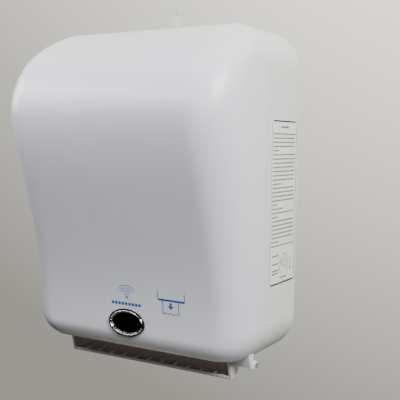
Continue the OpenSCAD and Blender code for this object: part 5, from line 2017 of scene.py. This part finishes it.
@dataclass
class Power(SubAssembly):
    """Battery box with four cells and its sliding lid."""

    cell_length: float = 0.060
    cell_base: tuple[Flat, ...] = (
        (0.0, 0.004), (0.0, 0.0135), (0.0004, 0.0139), (0.0004, 0.0157), (0.0012, 0.0165),
    )
    cell_shoulder: tuple[Flat, ...] = (
        (-0.0012, 0.0165), (-0.0004, 0.0157), (-0.0004, 0.0062), (0.0, 0.0058), (0.0, 0.0047),
    )
    cell_tip: tuple[Flat, ...] = ((-0.0004, 0.0047), (0.0, 0.0043))
    cell_crease: float = 45.0
    nub: float = 0.0025
    tip_gap: float = 0.0003
    depth: float = -0.0218
    rows: Flat = (-0.064, -0.028)
    lid_face: float = -0.0413
    print_gap: float = 0.00003
    ink: float = 0.00005
    arrow: Flat = (-0.026, -0.040)
    arrow_line: float = 0.0022
    arrow_head: tuple[float, ...] = (-0.039, 0.0036, -0.047)
    pole: float = 0.054
    pole_half: float = 0.0024
    pole_line: float = 0.0009

    def lay(self, across: float, up: float) -> Vector:
        """Place on the lid's front."""
        return Vector((across, self.lid_face - self.print_gap, up))

    def marks(self) -> Print:
        """Draws an arrow for the way that the lid slides, and the poles of the cells behind it.

        Returns:
            The marks.
        """
        marks = Print(self.lay)
        middle = sum(self.rows) / 2
        marks.stroke([(across, middle) for across in self.arrow], self.arrow_line)
        neck, half, tip = self.arrow_head
        marks.patch([(neck, middle - half), (neck, middle + half), (tip, middle)])
        half = self.pole_half
        for height in self.rows:
            for pole in (-self.pole, self.pole):
                marks.stroke([(pole - half, height), (pole + half, height)], self.pole_line)
            marks.stroke([(self.pole, height - half), (self.pole, height + half)], self.pole_line)
        return marks

    def cell(self, start: float) -> list[Flat]:
        """Draws one cell's section, its pole to the right.

        Args:
            start: where its base stands.

        Returns:
            Places along the axis, each with its radius.
        """
        end = start + self.cell_length - self.nub
        tip = end + self.nub - (self.tip_gap if start < 0 else 0.0)
        parts = ((start, self.cell_base), (end, self.cell_shoulder), (tip, self.cell_tip))
        return [(place + run, radius) for place, part in parts for run, radius in part]

    def build(self) -> None:
        """Builds the cells and dresses the box."""
        cells = Solid()
        for height in self.rows:
            for start in (-self.cell_length, 0.0):
                cells.lathe(self.cell(start), (self.depth, height))
        mesh = cells.mesh("cells", self.cell_crease)
        self.add("dry_cells", mesh, "base", CELL_WRAP, "cell_wrap", ["batteries"])
        self.dress(GREY_PLASTIC, "battery_box", "battery_lid")
        self.printed("lid_marks", self.marks(), "lid", INK_LIGHT, self.ink)
        self.dress(STEEL, "battery_contacts")


@dataclass
class Controls(SubAssembly):
    """Control box with its board, panel, button, slider and lamp."""

    face: float = -0.0365
    print_gap: float = 0.00003
    ink: float = 0.00005
    line: float = 0.0006
    button: Flat = (0.0888, -0.0612)
    button_ring: float = 0.0172
    ring_steps: int = 48
    sheet_up: float = 0.0135
    sheet_half: Flat = (0.003, 0.0026)
    arrow_half: float = 0.0016
    arrow_drop: Flat = (0.0008, 0.0036)
    slider: Flat = (0.10672, -0.03348)
    travel: float = 0.005
    length_from: float = 0.0048
    length_to: float = 0.0072
    length_step: float = 0.0011
    lamp: Flat = (0.114, -0.0612)
    cell_up: float = 0.0062
    cell_sides: Flat = (-0.003, 0.0026)
    cell_half: float = 0.0016
    pole: Flat = (0.0034, 0.0007)
    pole_line: float = 0.0008

    def lay(self, across: float, up: float) -> Vector:
        """Place on the panel's front."""
        return Vector((across, self.face - self.print_gap, up))

    def marks(self) -> Print:
        """Draws a ring and a sheet at the button, three lengths at the slider and a cell at the lamp.

        Returns:
            The marks.
        """
        marks = Print(self.lay)
        marks.stroke(oval(self.button_ring, self.button_ring, self.button, self.ring_steps), self.line, True)
        x, z = self.button[0], self.button[1] + self.sheet_up
        (wide, tall), (neck, tip) = self.sheet_half, self.arrow_drop
        marks.stroke(gate(x - wide, z - tall, x + wide, z + tall), self.line)
        marks.patch([(x - self.arrow_half, z - neck), (x + self.arrow_half, z - neck), (x, z - tip)])
        x, z = self.slider
        for k in (-1, 0, 1):
            across, low = x + k * self.travel, z - self.length_to - self.length_step * k
            marks.stroke([(across, z - self.length_from), (across, low)], self.length_step)
        x, z = self.lamp[0], self.lamp[1] + self.cell_up
        (left, right), half = self.cell_sides, self.cell_half
        marks.stroke(gate(x + left, z - half, x + right, z + half), self.line, True)
        out, half = self.pole
        marks.stroke([(x + out, z - half), (x + out, z + half)], self.pole_line)
        return marks

    def build(self) -> None:
        """Dresses the control box and prints its panel."""
        self.printed("panel_marks", self.marks(), "base", INK_DARK, self.ink)
        self.dress(GREY_PLASTIC, "control_box")
        self.dress(BOARD, "control_board")
        self.dress(PANEL_GREY, "control_panel")
        self.dress(STEEL, "panel_screws")
        self.dress(BUTTON_BLUE, "feed_button")
        self.dress(DARK_PLASTIC, "length_slider")
        self.dress(LAMP_GREEN, "status_lamp")


class SoftLight(NamedTuple):
    """A rectangular light: where it hangs, what it points at, its size, its power in watts, its colour."""

    name: str
    place: Point
    aim: Point
    size: Flat
    power: float
    colour: Colour


@dataclass
class Studio:
    """Camera at the photograph's place, soft lights and a pale floor."""

    eye: Point = (0.49511, -0.81459, 0.05987)
    yaw: float = 30.45
    pitch: float = 4.5
    roll: float = 0.76
    lens: float = 66.285
    sensor: float = 36.0
    sight: Flat = (0.01, 100.0)
    floor_height: float = -1.5
    floor_size: float = 2.5
    back_share: float = 4.12
    top_share: float = 3.23
    fall: float = 4.45
    least: float = 0.21
    wall: Colour = (1.74, 1.68, 1.5)
    lights: tuple[SoftLight, ...] = (
        SoftLight("over", (-0.3, -0.75, 1.7), (0.0, -0.12, 0.08), (0.8, 0.5), 8.0, (1.0, 1.0, 1.0)),
        SoftLight("front", (-0.19, -0.41, 0.28), (-0.05, -0.18, 0.11), (0.7, 0.12), 1.7, (0.98, 0.985, 1.0)),
        SoftLight("fill", (0.5, -0.95, -0.04), (0.0, -0.1, -0.15), (0.3, 0.2), 1.1, (1.0, 0.98, 0.97)),
        SoftLight("floor_wash", (0.2, -0.9, -0.35), (0.2, -0.9, -1.0), (1.2, 1.0), 3.5, (1.0, 0.97, 0.93)),
        SoftLight("under", (0.1, -0.5, -1.1), (0.0, -0.1, -0.2), (1.2, 1.0), 0.5, (1.0, 0.98, 0.95)),
        SoftLight("left", (-0.75, -0.24, 0.32), (-0.13, -0.13, 0.09), (0.25, 0.35), 2.4, (1.0, 1.0, 1.0)),
        SoftLight("right", (1.0, -0.55, 0.72), (0.05, -0.1, 0.03), (0.6, 0.6), 26.0, (0.995, 0.995, 1.0)),
    )

    def camera(self) -> None:
        """Sets the camera."""
        yaw, pitch, roll = (math.radians(a) for a in (self.yaw, self.pitch, self.roll))
        ahead = Vector((-math.sin(yaw) * math.cos(pitch), math.cos(yaw) * math.cos(pitch), -math.sin(pitch)))
        right = Vector((math.cos(yaw), math.sin(yaw), 0.0))
        up = right.cross(ahead)
        level, tilt = math.cos(roll), math.sin(roll)
        right, up = level * right + tilt * up, -tilt * right + level * up
        data = bpy.data.cameras.new("camera")
        data.sensor_width = self.sensor
        data.lens = self.lens
        data.clip_start, data.clip_end = self.sight
        camera = bpy.data.objects.new("camera", data)
        bpy.context.scene.collection.objects.link(camera)
        turn = Matrix((right, up, -ahead)).transposed().to_4x4()
        camera.matrix_world = Matrix.Translation(self.eye) @ turn
        bpy.context.scene.camera = camera

    def hang(self, light: SoftLight) -> None:
        """Hangs a soft light.

        Args:
            light: the light.
        """
        data = bpy.data.lights.new(light.name, "AREA")
        data.shape = "RECTANGLE"
        data.size, data.size_y = light.size
        data.energy = light.power
        data.color = light.colour
        lamp = bpy.data.objects.new(light.name, data)
        bpy.context.scene.collection.objects.link(lamp)
        lamp.location = light.place
        lamp.visible_camera = False
        lamp.rotation_euler = (Vector(light.aim) - Vector(light.place)).to_track_quat("-Z", "Y").to_euler()

    def floor(self) -> None:
        """Lays the pale floor, which throws no diffuse light back up at the dispenser."""
        half = self.floor_size / 2
        mesh = bpy.data.meshes.new("floor")
        corners = [(-half, -half), (half, -half), (half, half), (-half, half)]
        mesh.from_pydata([(x, y, self.floor_height) for x, y in corners], [], [(0, 1, 2, 3)])
        floor = bpy.data.objects.new("floor", mesh)
        bpy.context.scene.collection.objects.link(floor)
        mesh.materials.append(FLOOR.material())
        floor.visible_diffuse = False

    def world(self) -> None:
        """Sets the pale surroundings, brighter behind and above the dispenser than in front of it."""
        world = bpy.data.worlds.new("surroundings")
        graph = Graph(world)
        _, back, up = graph.split(graph.node("ShaderNodeTexCoord", out="Generated"))
        # The level doubles with each stop, and the camera alone never sees it under the least one.
        level = 2.0 ** (self.back_share * back + self.top_share * up - self.fall)
        shown = self.least * graph.node("ShaderNodeLightPath", out="Is Camera Ray")
        colour = graph.mix(graph.maths("MAXIMUM", level, shown), (0.0, 0.0, 0.0), self.wall)
        graph.end("ShaderNodeOutputWorld", graph.node("ShaderNodeBackground", None, {"Color": colour}))
        bpy.context.scene.world = world

    def build(self) -> None:
        """Sets up the studio."""
        self.camera()
        self.world()
        self.floor()
        for light in self.lights:
            self.hang(light)
        LOG.info("set up the studio with %d lights", len(self.lights))


def main() -> None:
    """Builds the studio and the dispenser's sub-assemblies in order."""
    logging.basicConfig(level=logging.INFO, format="%(name)s: %(message)s")
    Studio().build()
    sensor = SensorWindow()
    Cover().build(sensor.opening())
    for part in (FrontSigns(), sensor, Tray(), Chute(), SideSticker(), TopLock()):
        part.build()
    feed = Feed()
    feed.build()
    Pinch().build(feed)
    for part in (RollHolder(), Power(), Controls()):
        part.build()


if __name__ == "__main__":
    main()
